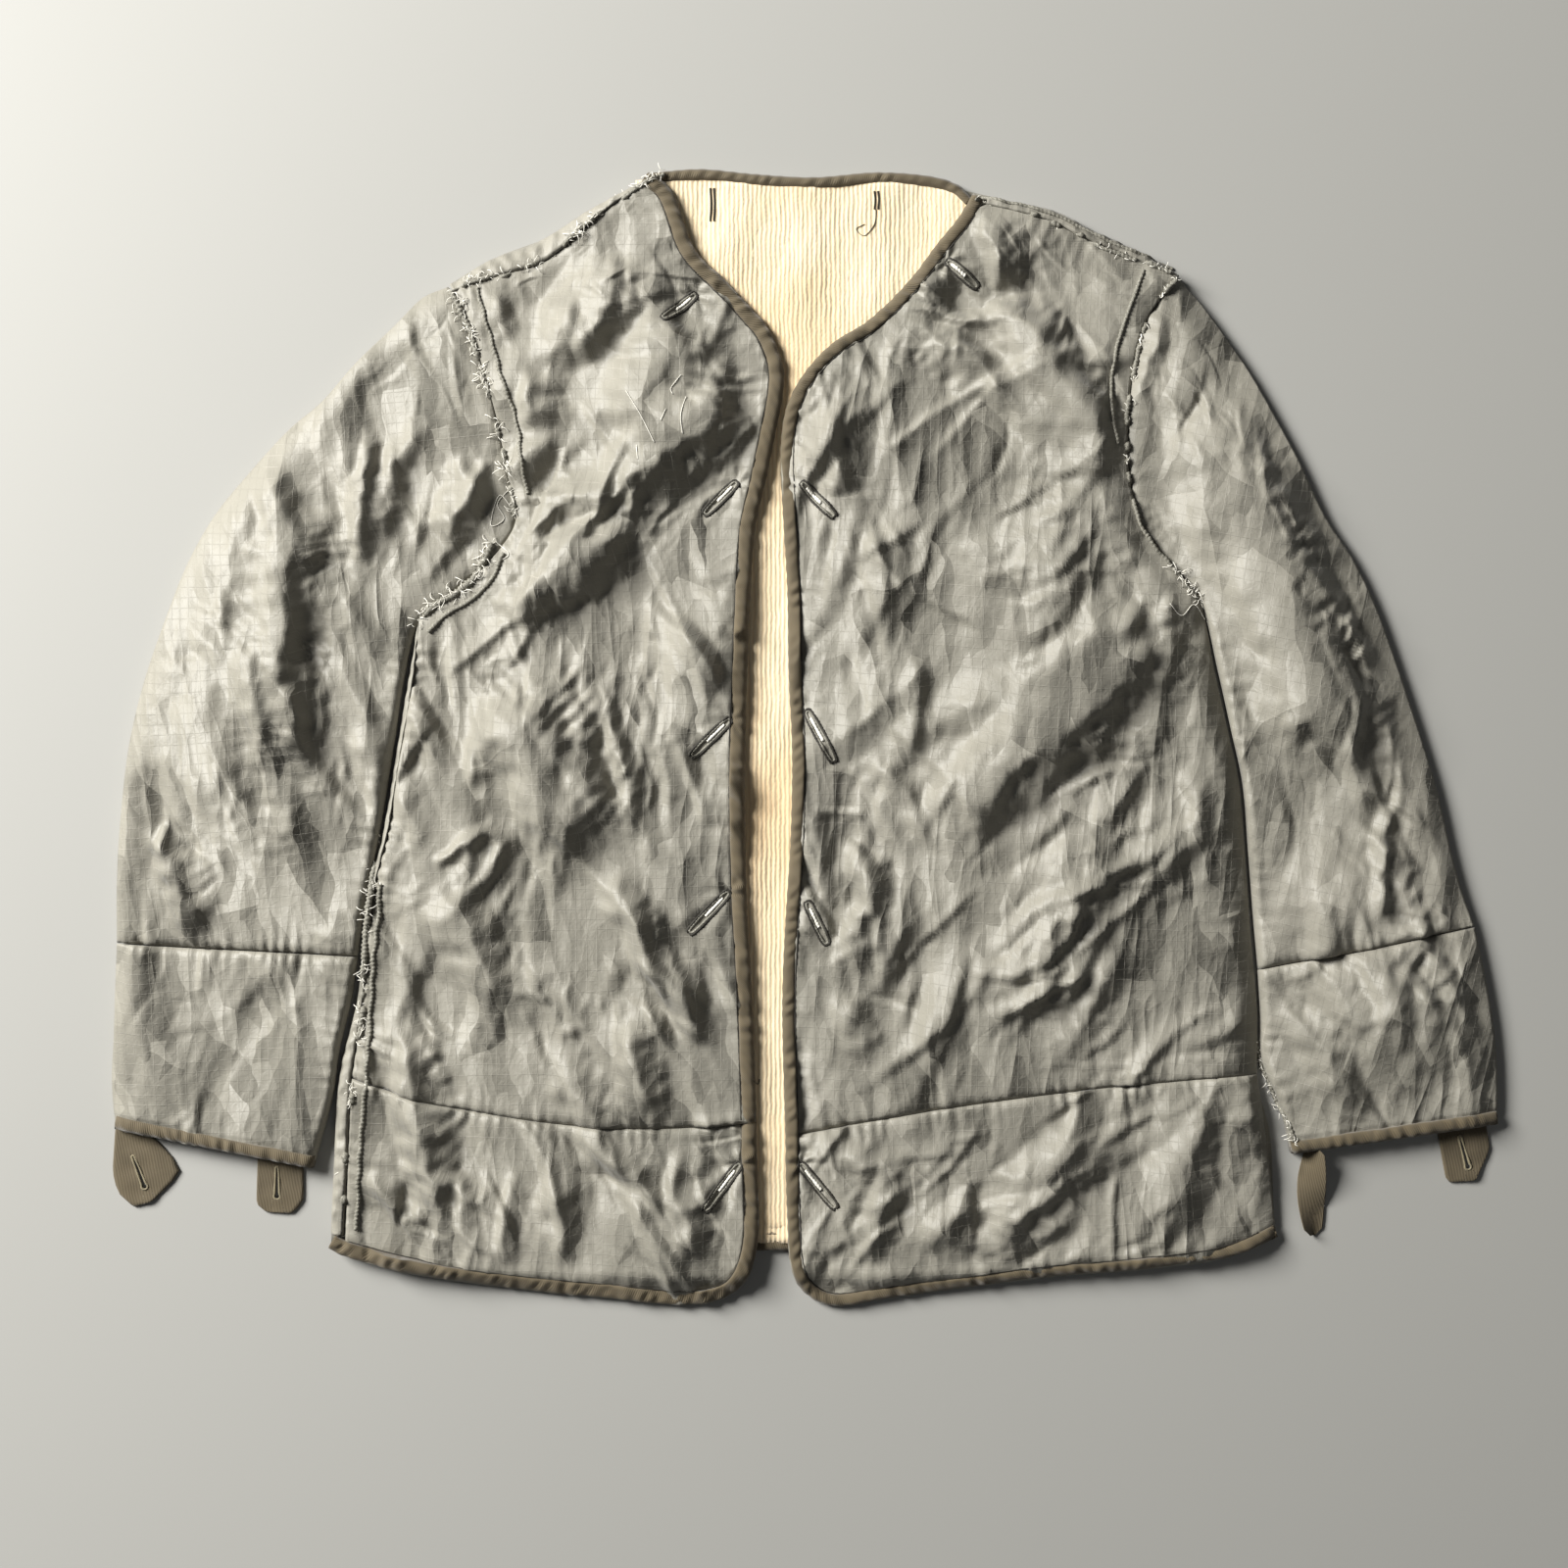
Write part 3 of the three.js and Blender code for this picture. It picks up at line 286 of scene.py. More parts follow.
def swept(sections):
    """A closed bar through loops of points, with its two ends capped."""
    rows, around = sections.shape[:2]
    half = around // 2
    last = (rows - 1) * around
    caps = [(i, i + 1, around - 2 - i, around - 1 - i) for i in range(half - 1)]
    caps += [(last + around - 1 - i, last + around - 2 - i, last + i + 1, last + i) for i in range(half - 1)]
    return sections.reshape(-1, 3), np.vstack([grid_faces(rows, around, wrap=True), caps])


def joined(parts):
    """Several sets of points and faces as one."""
    starts = np.cumsum([0] + [len(points) for points, _ in parts])
    return (np.vstack([points for points, _ in parts]),
            np.vstack([faces + start for (_, faces), start in zip(parts, starts)]))


MM = 0.001  # metres


def sewn_piece(name, shape, finish, nodes, grain=0.0, lie=None):
    """A piece of the liner from points in millimetres. Its weave follows the grain angle, or lie,
    which gives the weave's own place for each point."""
    points, faces = shape
    mesh = bpy.data.meshes.new(name)
    mesh.from_pydata((points * MM).tolist(), [], faces.tolist())
    shell = bmesh.new()
    shell.from_mesh(mesh)
    bmesh.ops.recalc_face_normals(shell, faces=shell.faces)
    shell.to_mesh(mesh)
    shell.free()
    if lie is None:
        across = points[:, 0] * math.cos(grain) + points[:, 1] * math.sin(grain)
        lie = np.column_stack([across + 0.3 * points[:, 2], points[:, 1] * math.cos(grain)
                               - points[:, 0] * math.sin(grain) + 0.3 * points[:, 2]])
    corners = np.empty(len(mesh.loops), dtype=np.int64)
    mesh.loops.foreach_get("vertex_index", corners)
    weave = mesh.uv_layers.new(name="weave")
    weave.data.foreach_set("uv", (lie[corners] * MM).astype(np.float32).ravel())
    mesh.polygons.foreach_set("use_smooth", np.ones(len(mesh.polygons), dtype=bool))
    mesh.materials.append(finish)
    piece = bpy.data.objects.new(name, mesh)
    scene.collection.objects.link(piece)
    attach(piece, "root")
    if nodes:
        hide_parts(*nodes)
    return piece


# Nylon taffeta with a ripstop grid: thin, smooth and satiny, so it takes light softly and shows
# every crease. The thicker grid threads get broken pale dashes painted into the colour: painted highlights
# where they catch the light.
ripstop, tree = new_finish("ripstop_nylon")
weave = add_node(tree, "ShaderNodeUVMap", uv_map="weave")
RIPSTOP_GRID = 0.0062  # metres between the thicker threads
squares = add_node(tree, "ShaderNodeTexBrick", {
    "Vector": weave.outputs["UV"], "Scale": 1 / RIPSTOP_GRID, "Mortar Size": 0.035,
    "Mortar Smooth": 0.5, "Brick Width": 1.0, "Row Height": 1.0}, offset=0.0, squash=1.0)
patches = add_node(tree, "ShaderNodeTexNoise", {"Vector": weave.outputs["UV"], "Scale": 55.0, "Detail": 4.0})
broken = add_node(tree, "ShaderNodeMapRange", {
    "Value": patches.outputs["Fac"], "From Min": 0.46, "From Max": 0.66, "To Min": 0.0, "To Max": 0.4})
dashes = add_node(tree, "ShaderNodeMath", {0: squares.outputs["Fac"], 1: broken.outputs["Result"]},
                  operation="MULTIPLY")
fading = add_node(tree, "ShaderNodeTexNoise", {"Vector": weave.outputs["UV"], "Scale": 9.0, "Detail": 5.0,
                                               "Roughness": 0.6})
faded = add_node(tree, "ShaderNodeMix", {
    0: fading.outputs["Fac"], 6: linear("#7a776c"), 7: linear("#8f8b80")}, data_type="RGBA")
# Painted highlight: the pale dashes on the grid threads, mixed into the nylon's colour.
wear_and_glints = add_node(tree, "ShaderNodeMix", {
    0: dashes.outputs["Value"], 6: faded.outputs[2], 7: linear("#bdb7aa")}, data_type="RGBA")
fine = add_node(tree, "ShaderNodeTexNoise", {"Vector": weave.outputs["UV"], "Scale": 260.0, "Detail": 3.0,
                                             "Distortion": 0.8})
grain = add_node(tree, "ShaderNodeMath", {0: fine.outputs["Fac"], 1: 0.3}, operation="MULTIPLY")
height = add_node(tree, "ShaderNodeMath", {0: squares.outputs["Fac"], 1: 0.1, 2: grain.outputs["Value"]},
                  operation="MULTIPLY_ADD").outputs["Value"]
# Sharp creases: how they lie, metres between them, and their depth.
CREASES = [(0.55, 0.050, 2.4), (-0.35, 0.026, 1.6), (1.5, 0.036, 1.8), (1.05, 0.015, 1.1)]
for slant, pitch, depth in CREASES:
    lying = add_node(tree, "ShaderNodeMapping", {"Vector": weave.outputs["UV"], "Rotation": (0, 0, slant),
                                                 "Scale": (1.0, 0.3, 1.0)})
    sharp = add_node(tree, "ShaderNodeTexNoise", {
        "Vector": lying.outputs["Vector"], "Scale": 1 / pitch, "Detail": 1.5, "Roughness": 0.35,
        "Offset": 0.9, "Gain": 1.2, "Distortion": 0.3}, noise_type="RIDGED_MULTIFRACTAL", normalize=False)
    place = add_node(tree, "ShaderNodeTexNoise", {"Vector": weave.outputs["UV"], "Scale": 6.0 + 20 * pitch,
                                                  "Detail": 2.0})
    where = add_node(tree, "ShaderNodeMapRange", {"Value": place.outputs["Fac"], "From Min": 0.4,
                                                  "From Max": 0.62, "To Min": 0.15, "To Max": depth})
    raised = add_node(tree, "ShaderNodeMath", {
        0: sharp.outputs["Fac"], 1: where.outputs["Result"], 2: height}, operation="MULTIPLY_ADD")
    height = raised.outputs["Value"]
gloss = add_node(tree, "ShaderNodeMapRange", {"Value": patches.outputs["Fac"], "To Min": 0.48, "To Max": 0.6})
facing = add_node(tree, "ShaderNodeNewGeometry").outputs["Normal"]
deepened = add_node(tree, "ShaderNodeVectorMath", {0: facing, 1: (1.35, 1.35, 1.0)}, operation="MULTIPLY")
tilted = deepened.outputs["Vector"]
# Flat facets between creases: metres across, how they lie, their narrowing, and how far they tilt.
FACETS = [(0.060, 1.0, 0.4, 0.17), (0.024, -0.7, 0.3, 0.33), (0.010, 1.2, 0.35, 0.36)]
for across, turn, stretch, lean in FACETS:
    bent = add_node(tree, "ShaderNodeTexNoise", {"Vector": weave.outputs["UV"], "Scale": 0.35 / across})
    moved = add_node(tree, "ShaderNodeVectorMath", {
        0: bent.outputs["Color"], 1: (across * 1.6,) * 3, 2: weave.outputs["UV"]}, operation="MULTIPLY_ADD")
    laid = add_node(tree, "ShaderNodeMapping", {
        "Vector": moved.outputs["Vector"], "Rotation": (0, 0, turn), "Scale": (1.0, stretch, 1.0)})
    facets = add_node(tree, "ShaderNodeTexVoronoi", {"Vector": laid.outputs["Vector"], "Scale": 1 / across,
                                                     "Randomness": 1.0}, voronoi_dimensions="2D")
    slope = add_node(tree, "ShaderNodeVectorMath", {0: facets.outputs["Color"], 1: (0.5, 0.5, 0.5)},
                     operation="SUBTRACT")
    leaned = add_node(tree, "ShaderNodeVectorMath", {
        0: slope.outputs["Vector"], 1: (lean, lean, 0.0), 2: tilted}, operation="MULTIPLY_ADD")
    tilted = leaned.outputs["Vector"]
crisp = add_node(tree, "ShaderNodeVectorMath", {0: tilted}, operation="NORMALIZE")
relief = add_node(tree, "ShaderNodeBump", {"Height": height, "Strength": 1.0, "Distance": 0.001,
                                           "Normal": crisp.outputs["Vector"]})
shader = add_node(tree, "ShaderNodeBsdfPrincipled", {
    "Base Color": wear_and_glints.outputs[2], "Roughness": gloss.outputs["Result"], "IOR": 1.53,
    "Specular IOR Level": 0.36, "Sheen Weight": 0.1, "Sheen Roughness": 0.4,
    "Normal": relief.outputs["Normal"]})
add_node(tree, "ShaderNodeOutputMaterial", {"Surface": shader.outputs["BSDF"]})


def columns_of(rows, first):
    """Two of a table's columns, x and y."""
    return [(row[first], row[first + 1]) for row in rows]


left_fold = BACK_NECK[:1] + columns_of(LEFT_SHOULDER, 4)[:-1] + columns_of(LEFT_ARMHOLE, 0)[:-1]
left_fold += columns_of(LEFT_SIDE, 4) + LEFT_FOLD_END
right_fold = BACK_NECK[5:] + columns_of(RIGHT_SHOULDER, 4)[:-1] + columns_of(RIGHT_ARMHOLE, 0)[:-1]
right_fold += columns_of(RIGHT_SIDE, 0) + [(286, -234), (288, -268), (288, -286)]


BACK_LONG, BACK_WIDE = 650, 540


def back_points(pitch, margin):
    """A grid over the back, a margin in from its outline: rows run from left to right."""
    marks = np.linspace(0, 1, round(BACK_LONG / pitch))
    sides = []
    for fold in (left_fold, right_fold):
        run = spline(fold, 4)
        levels = run[0, 1] + (run[-1, 1] - run[0, 1]) * marks
        falling = np.maximum.accumulate(-run[:, 1])
        sides.append(np.column_stack([np.interp(-levels, falling, run[:, 0]), levels]))
    across = np.linspace(0, 1, round(BACK_WIDE / pitch))[None, :, None]
    grid = sides[0][:, None] * (1 - across) + sides[1][:, None] * across
    for run, weight in ((BACK_NECK, 1 - marks * 5), (BACK_HEM, marks * 5 - 4)):
        edge = spaced(spline(run), 1)
        bow = np.interp(grid[..., 0], edge[:, 0], edge[:, 1])
        straight = grid[0, :, 1] if run is BACK_NECK else grid[-1, :, 1]
        offset = (bow[0 if run is BACK_NECK else -1] - straight)[None, :]
        grid[..., 1] += offset * smooth(weight)[:, None]
    middle = np.array([0.0, 15.0])
    return middle + (grid - middle) * (1 - margin / np.array([275.0, 325.0]))


def turned_edge(seam, fold, seed):
    """The back's cloth where it turns over: a puckered roll from the fold up to the seam."""
    both = spaced(spline(np.column_stack([seam, fold])), 1.3)
    inner, outer = both[:, :2], both[:, 2:]
    along = np.cumsum(np.hypot(*np.gradient(inner, axis=0).T))
    arc = np.linspace(0, 1, 9)
    height = 0.4 + (STACK - 0.8) * np.sin(arc * math.pi / 2) ** 0.8
    t = (1 - np.cos(arc * math.pi / 2))[None, :, None] * 0.94
    skin = outer[:, None] * (1 - t) + inner[:, None] * t
    level = height[None, :] + 0.0 * skin[..., 0]
    pucker = swell(along[:, None] + 0 * level, 9 * arc[None, :] + 0 * level, 9, seed)
    level = level + 0.9 * pucker * np.sin(arc * math.pi)[None, :]
    top = np.dstack([skin, level])
    foot = top[:, ::-1].copy()
    foot[..., 2] = 0.3
    foot[..., :2] = skin[:, ::-1] * 0.9 + inner[:, None] * 0.1
    return swept(np.concatenate([top, foot[:, :-1]], 1)[:, :16])


sheet = back_points(8.0, 0.0)
x, y = sheet[..., 0].ravel(), sheet[..., 1].ravel()
dents = np.clip(0.35 + 0.4 * swell(x, y, 60, 3) + crinkle(x, y, 40, 0.06, 0.4, 1.5, 5), 0, 0.9)
flat_faces = grid_faces(*sheet.shape[:2])
layers = [walled(np.column_stack([x, y, np.full(x.shape, SHELL)]), np.column_stack([x, y, dents * 0.6]),
                 flat_faces)]
side_seam = columns_of(LEFT_SIDE, 0) + LEFT_SEAM_END
side_fold = columns_of(LEFT_SIDE, 4) + LEFT_FOLD_END
layers.append(turned_edge(side_seam, side_fold, 21))
layers.append(turned_edge(columns_of(LEFT_SHOULDER, 0), columns_of(LEFT_SHOULDER, 4), 22))
layers.append(turned_edge(columns_of(RIGHT_SHOULDER, 0), columns_of(RIGHT_SHOULDER, 4), 23))
back = sewn_piece("back_cloth", joined(layers), ripstop, ["back_shell"])


# The lining of the back: wool pile knitted in fine upright ribs. It shows in the neck and
# between the fronts, cream where it is clean and tan where it is worn. The grooves between
# the ribs are painted a darker tan, as shade.
PILE_TOP = 5.5  # millimetres above the floor, at the roots of the ribs
RIB_PITCH = 2.8  # millimetres between the ribs
wool, tree = new_finish("wool_pile")
weave = add_node(tree, "ShaderNodeUVMap", uv_map="weave")
soil = add_node(tree, "ShaderNodeTexNoise", {"Vector": weave.outputs["UV"], "Scale": 7.0, "Detail": 3.0})
tufts = add_node(tree, "ShaderNodeTexNoise", {"Vector": weave.outputs["UV"], "Scale": 620.0, "Detail": 3.0,
                                              "Roughness": 0.7})
ribs = add_node(tree, "ShaderNodeTexWave", {
    "Vector": weave.outputs["UV"], "Scale": 314.2 / RIB_PITCH, "Distortion": 3.2, "Detail": 3.0,
    "Detail Scale": 0.55, "Detail Roughness": 0.6})
wear_and_glints = add_node(tree, "ShaderNodeMapRange", {
    "Value": soil.outputs["Fac"], "From Min": 0.42, "From Max": 0.66})
cream = add_node(tree, "ShaderNodeMix", {
    0: wear_and_glints.outputs["Result"], 6: linear("#e6d3af"), 7: linear("#dbbf94")}, data_type="RGBA")
# Painted shade: the grooves between the ribs, where the bump is lowest, are coloured a darker tan.
groove_shade = add_node(tree, "ShaderNodeMapRange", {"Value": ribs.outputs["Fac"], "From Min": 0.45, "From Max": 0.0,
                                              "To Max": 0.34})
pile_with_groove_shade = add_node(tree, "ShaderNodeMix", {0: groove_shade.outputs["Result"], 6: cream.outputs[2], 7: linear("#cda36b")},
               data_type="RGBA")
height = add_node(tree, "ShaderNodeMath", {0: ribs.outputs["Fac"], 1: 0.8, 2: tufts.outputs["Fac"]},
                  operation="MULTIPLY_ADD")
relief = add_node(tree, "ShaderNodeBump", {"Height": height.outputs["Value"], "Strength": 0.5,
                                           "Distance": 0.0008})
shader = add_node(tree, "ShaderNodeBsdfPrincipled", {
    "Base Color": pile_with_groove_shade.outputs[2], "Roughness": 0.95, "Sheen Weight": 0.5, "Sheen Roughness": 0.6,
    "Normal": relief.outputs["Normal"]})
add_node(tree, "ShaderNodeOutputMaterial", {"Surface": shader.outputs["BSDF"]})

slab = back_points(8.0, 10.0)
x, y = slab[..., 0].ravel(), slab[..., 1].ravel()
layers = [walled(np.column_stack([x, y, np.full(x.shape, PILE_TOP - 0.4)]),
                 np.column_stack([x, y, np.full(x.shape, SHELL + 0.3)]), grid_faces(*slab.shape[:2]))]
left_edge = spline(columns_of(LEFT_SHOULDER, 2)[:-1] + columns_of(LEFT_ARMHOLE, 2)[:-1]
                   + columns_of(LEFT_SIDE, 2) + [(-27, -275), (-27, -305), (-31, -330)], 4)
right_edge = spline(columns_of(RIGHT_SHOULDER, 2)[:-1] + columns_of(RIGHT_ARMHOLE, 2)[:-1]
                    + columns_of(RIGHT_SIDE, 2) + [(-9, -293), (-7, -321), (-3, -335)], 4)
level, place = np.meshgrid(np.arange(343, -311, -4.0), np.arange(-112, 126, 0.7), indexing="ij")
neck = spaced(spline(BACK_NECK), 1)
from_left = np.interp(-level, -left_edge[:, 1], left_edge[:, 0], left=-88)
from_right = np.interp(-level, -right_edge[:, 1], right_edge[:, 0], left=100)
shown = (place > from_left - 14) & (place < from_right + 14)
shown &= level < np.interp(place, neck[:, 0], neck[:, 1]) - 2
drift = 1.1 * swell(place, level, 90, 31) + 0.35 * swell(place, level, 14, 32)
ribbed = 0.05 * np.cos((place + drift) * FULL_TURN / RIB_PITCH)
ribbed += PILE_TOP + 0.4 + 0.25 * swell(place, level, 9, 33) + 0.9 * swell(place, level, 60, 34)
quads = grid_faces(*place.shape)
quads = quads[shown.ravel()[quads].all(1)]
used, quads = np.unique(quads, return_inverse=True)
quads = quads.reshape(-1, 4)
x, y = place.ravel()[used], level.ravel()[used]
layers.append(walled(np.column_stack([x, y, ribbed.ravel()[used]]),
                     np.column_stack([x, y, np.full(x.shape, PILE_TOP - 0.6)]), quads))
pile = sewn_piece("back_lining", joined(layers), wool, ["back_pile"])


# The two fronts: nylon over pile, sewn to the back at the shoulder, armhole and side, with a cross
# seam above the hem. The cloth lies in soft folds with countless sharp small creases.
FRONT_BASE = 5.8  # height of the fronts' underside, on the ribs of the pile
FRONT_CLOTH = 4.9  # a front's nylon and pile together
LEFT_HEM = [(-278.4, -316), (-247, -325), (-204, -333), (-161, -339), (-119, -343), (-75, -347), (-48, -343),
            (-33, -329), (-27, -305), (-27, -275), (-28, -248)]
RIGHT_HEM = [(290, -305), (255, -318), (204, -325), (154, -329), (103, -336), (52, -343), (20, -348),
             (1, -339), (-7, -321), (-9, -293), (-10, -257)]
# Each fold: start, middle and end of its crest, its height, and the widths of its upper left and
# lower right slopes.
LEFT_FOLDS = [
    (-107, 298, -124, 253, -160, 228, 7, 30, 16), (-158, 226, -160, 205, -155, 181, 5, 14, 18),
    (-66, 260, -90, 216, -112, 178, 12, 28, 55), (-26, 196, -71, 174, -107, 139, 10, 40, 14),
    (-196, 103, -158, 127, -112, 157, 7, 25, 14), (-188, 78, -146, 100, -104, 130, 12, 12, 26),
    (-188, 37, -160, -20, -132, -77, 12, 30, 50), (-131, 37, -107, -23, -101, -65, 4, 10, 10),
    (-114, -77, -90, -134, -50, -179, 7, 16, 14), (-224, -89, -191, -140, -167, -179, 7, 24, 24),
    (-155, -185, -125, -233, -101, -278, 5, 20, 18), (-250, -155, -232, -221, -214, -320, 9, 22, 22),
    (-107, -167, -98, -209, -98, -239, 6, 18, 16), (-263, -263, -245, -290, -233, -311, 4, 10, 12),
    (-152, -266, -149, -296, -137, -323, 4, 14, 16), (-68, -248, -71, -281, -64, -323, 4, 12, 14),
    (-197, 4, -196, -17, -200, -38, 4, 10, 12), (-179, -50, -203, -65, -227, -80, 3.5, 8, 7),
    (-188, 271, -184, 253, -179, 238, 3, 10, 8),
]
RIGHT_FOLDS = [
    (109, 322, 114, 295, 116, 271, 6, 10, 30), (116, 271, 148, 228, 198, 162, 10, 30, 24),
    (55, 253, 103, 223, 163, 166, 5, 18, 14), (238, 67, 157, 4, 76, -78, 10, 50, 20),
    (223, -59, 157, -110, 100, -194, 6, 36, 16), (199, -134, 172, -170, 157, -203, 4, 24, 16),
    (38, -59, 38, -101, 26, -149, 6, 12, 16), (22, -152, 34, -179, 40, -203, 4, 12, 12),
    (40, -11, 64, -38, 80, -71, 3, 12, 8), (58, -266, 48, -293, 43, -323, 5, 20, 14),
    (25, -239, 43, -260, 73, -266, 4, 14, 12), (112, -278, 91, -296, 79, -317, 4, 16, 14),
    (193, -233, 148, -269, 118, -320, 8, 26, 22), (172, -278, 151, -302, 139, -320, 3, 12, 12),
    (244, -215, 232, -263, 229, -305, 5, 24, 24), (232, -23, 238, -41, 235, -59, 3.5, 12, 16),
    (133, 151, 145, 67, 133, -29, 6, 70, 90), (199, 157, 214, 115, 242, 85, 9, 30, 8),
]


FOLD_GAIN = 1.5  # how much higher the soft cloth stands than the table says


def fold_height(x, y, folds):
    """The height of the folds: rounded on the lit side, sharp and steep on the other."""
    wx = x + 3.5 * swell(x, y, 55, 41) + 1.2 * swell(x, y, 17, 42)
    wy = y + 3.5 * swell(x, y, 60, 43) + 1.2 * swell(x, y, 19, 44)
    total = np.zeros(np.shape(x))
    t = np.linspace(0, 1, 13)[:, None]
    for ax, ay, bx, by, cx, cy, rise, lit, shade in folds:
        middle = 2 * np.array([bx, by]) - 0.5 * np.array([ax + cx, ay + cy])
        crest = (1 - t) ** 2 * np.array([ax, ay]) + 2 * t * (1 - t) * middle + t ** 2 * np.array([cx, cy])
        reach = max(lit, shade) + 8
        near = (wx > crest[:, 0].min() - reach) & (wx < crest[:, 0].max() + reach)
        near &= (wy > crest[:, 1].min() - reach) & (wy < crest[:, 1].max() + reach)
        away, along, side = nearest(crest, wx[near], wy[near])
        length = np.hypot(*np.diff(crest, axis=0).T).sum()
        lean = (crest[-1, 0] - crest[0, 0]) + (crest[-1, 1] - crest[0, 1])
        lit_side = side * (1 if lean > 0 else -1) > 0
        ragged = 1 + 0.16 * swell(along, away, 26, 45) + 0.12 * swell(along, away * 0.4, 8, 46)
        across = np.clip(away / np.where(lit_side, lit, shade * ragged), 0, 1)
        shape = np.where(lit_side, (1 - across ** 2) ** 2, (1 - across) ** 1.2)
        taper = smooth(np.minimum(along, length - along) / (0.3 * length))
        total[near] += rise * shape * taper
    return FOLD_GAIN * total


# Of each sort of crease: how many to a square decimetre, shortest and longest in millimetres, slope,
# and how far they stray from the flow, in radians.
CREASE_SORTS = [(4.5, (60, 170), 0.26, 0.3), (18, (24, 75), 0.26, 0.5), (60, (9, 28), 0.25, 0.8)]


def crumpled(x, y, seed, flow):
    """The small creases of the nylon: sharp, nearly straight ones of three lengths, on faint flat
    facets. The longer two sorts waver a little with the cloth."""
    wx, wy = x + 1.3 * swell(x, y, 55, seed), y + 1.3 * swell(x, y, 60, seed + 1)
    rough = np.clip(0.72 + 0.75 * swell(x, y, 115, seed + 2), 0.15, 1.6)
    area = (x.max() - x.min()) * (y.max() - y.min()) / 10000  # in square decimetres
    total = 1.1 * swell(x, y, 120, seed + 3) + rough * crinkle(wx, wy, 34, 0.15, -0.6, 3.2, seed + 4)
    for i, (crowd, lengths, steep, spread) in enumerate(CREASE_SORTS):
        place = (wx, wy) if lengths[0] > 20 else (x, y)
        count = round(crowd * area)
        total = total + rough * strokes(*place, flow, count, lengths, steep, spread, seed + 5 + i)
    return total


def limited(loft):
    """The loft, held below 17 mm where folds meet."""
    return np.where(loft > 10, 10 + 7 * np.tanh((loft - 10) / 7), loft)


def puckers(x, y, run, reach, pitch, rise, seed):
    """Short gathers that stand square to a seam and die away from it."""
    away, along, _ = nearest(run, x, y)
    beat = np.cos(along * FULL_TURN / pitch + 2.2 * swell(along, 0 * along, 47, seed))
    strength = np.clip(0.5 + 0.8 * swell(along, 0 * along, 31, seed + 1), 0, 1.4)
    return rise * beat * strength * np.exp(-(away / reach) ** 1.3)


def outline(*parts):
    """One smooth run through several lists of points."""
    return spaced(spline([point for part in parts for point in part], 8), 6)


hem_line = spaced(spline(BACK_HEM), 20)
HEM_CLEAR, HEM_DROP = 13, 14  # past the back's hem the fronts come down to the floor
# Of each front: its outlines, the rows from seam to edge, its folds, the sag of its cross seam, the
# width of its tape, the flat size and area of its cuts in metres, its sharpest creases, how the
# small creases run at some places, and both ends of each buttonhole.
fronts = {
    "left": {
        "side": outline(columns_of(LEFT_SHOULDER, 0)[:-1], columns_of(LEFT_ARMHOLE, 0)[:-1],
                        columns_of(LEFT_SIDE, 0), LEFT_SEAM_END),
        "edge": outline(columns_of(LEFT_SHOULDER, 2)[:-1], columns_of(LEFT_ARMHOLE, 2)[:-1],
                        columns_of(LEFT_SIDE, 2), LEFT_HEM[::-1]),
        "rows": spline([row[:4] for row in LEFT_SHOULDER[:-1] + LEFT_ARMHOLE[:-1] + LEFT_SIDE]),
        "folds": LEFT_FOLDS, "sag": 14, "seed": 100, "hem": LEFT_HEM, "tape": 9.0,
        "cut": (0.27, 0.59), "area": 0.113, "band_cut": (0.26, 0.145), "band_area": 0.029,
        "creases": [((-131, 253), (-77, 271)), ((-136, 205), (-107, 163)),
                    ((-179, 31), (-155, -5), (-107, -65)), ((-149, -59), (-71, -149), (-41, -179)),
                    ((-227, -89), (-155, -149), (-107, -209)),
                    ((-221, 31), (-179, 67), (-119, 91)), ((-100, 120), (-70, 60), (-55, 10))],
        "flow": [(-100, 280, -1.2), (-140, 190, 0.9), (-80, 190, 0.6), (-150, 110, 0.55), (-60, 90, 1.4),
                 (-180, 20, 1.9), (-110, 0, 1.75), (-60, -80, 2.0), (-200, -90, 0.7), (-130, -150, 2.2),
                 (-220, -180, -0.8), (-90, -250, -1.2), (-200, -290, -0.9)],
        "buttonholes": [((-40, 154), (-59, 135)), ((-65, 268), (-84, 252)), ((-44, 10), (-67, -12)),
                        ((-45, -95), (-68, -119)), ((-38, -260), (-59, -287))],
    },
    "right": {
        "side": outline(columns_of(RIGHT_SHOULDER, 0)[:-1], columns_of(RIGHT_ARMHOLE, 0)[:-1],
                        columns_of(RIGHT_SIDE, 0), [(286, -234), (290, -268), (290, -305)]),
        "edge": outline(columns_of(RIGHT_SHOULDER, 2)[:-1], columns_of(RIGHT_ARMHOLE, 2)[:-1],
                        columns_of(RIGHT_SIDE, 2), RIGHT_HEM[::-1]),
        "rows": spline([row[:4] for row in RIGHT_SHOULDER[:-1] + RIGHT_ARMHOLE[:-1] + RIGHT_SIDE]),
        "folds": RIGHT_FOLDS, "sag": -5, "seed": 200, "hem": RIGHT_HEM, "tape": 7.5,
        "cut": (0.30, 0.59), "area": 0.135, "band_cut": (0.31, 0.15), "band_area": 0.0345,
        "creases": [((187, 239), (139, 229), (79, 196), (36, 160)), ((37, 19), (85, -23), (109, -59)),
                    ((49, -149), (109, -89)), ((169, 235), (115, 211), (73, 163)),
                    ((109, 127), (175, 169), (199, 193)), ((145, -149), (217, -89), (253, -71)),
                    ((30, 130), (60, 90), (120, 60)), ((20, -60), (45, -110), (50, -170))],
        "flow": [(90, 260, -0.5), (160, 240, -0.9), (60, 180, 1.2), (150, 130, 0.4), (40, 60, 1.3),
                 (110, 30, 0.8), (190, 0, 0.7), (40, -80, -0.9), (110, -110, 0.9), (210, -100, 0.8),
                 (60, -190, 1.4), (180, -200, 0.7), (60, -290, 0.5), (180, -280, 0.9)],
        "buttonholes": [((0, 153), (19, 133)), ((88, 288), (106, 273)), ((3, 15), (19, -15)),
                        ((3, -101), (15, -126)), ((-1, -260), (20, -286))],
    },
}


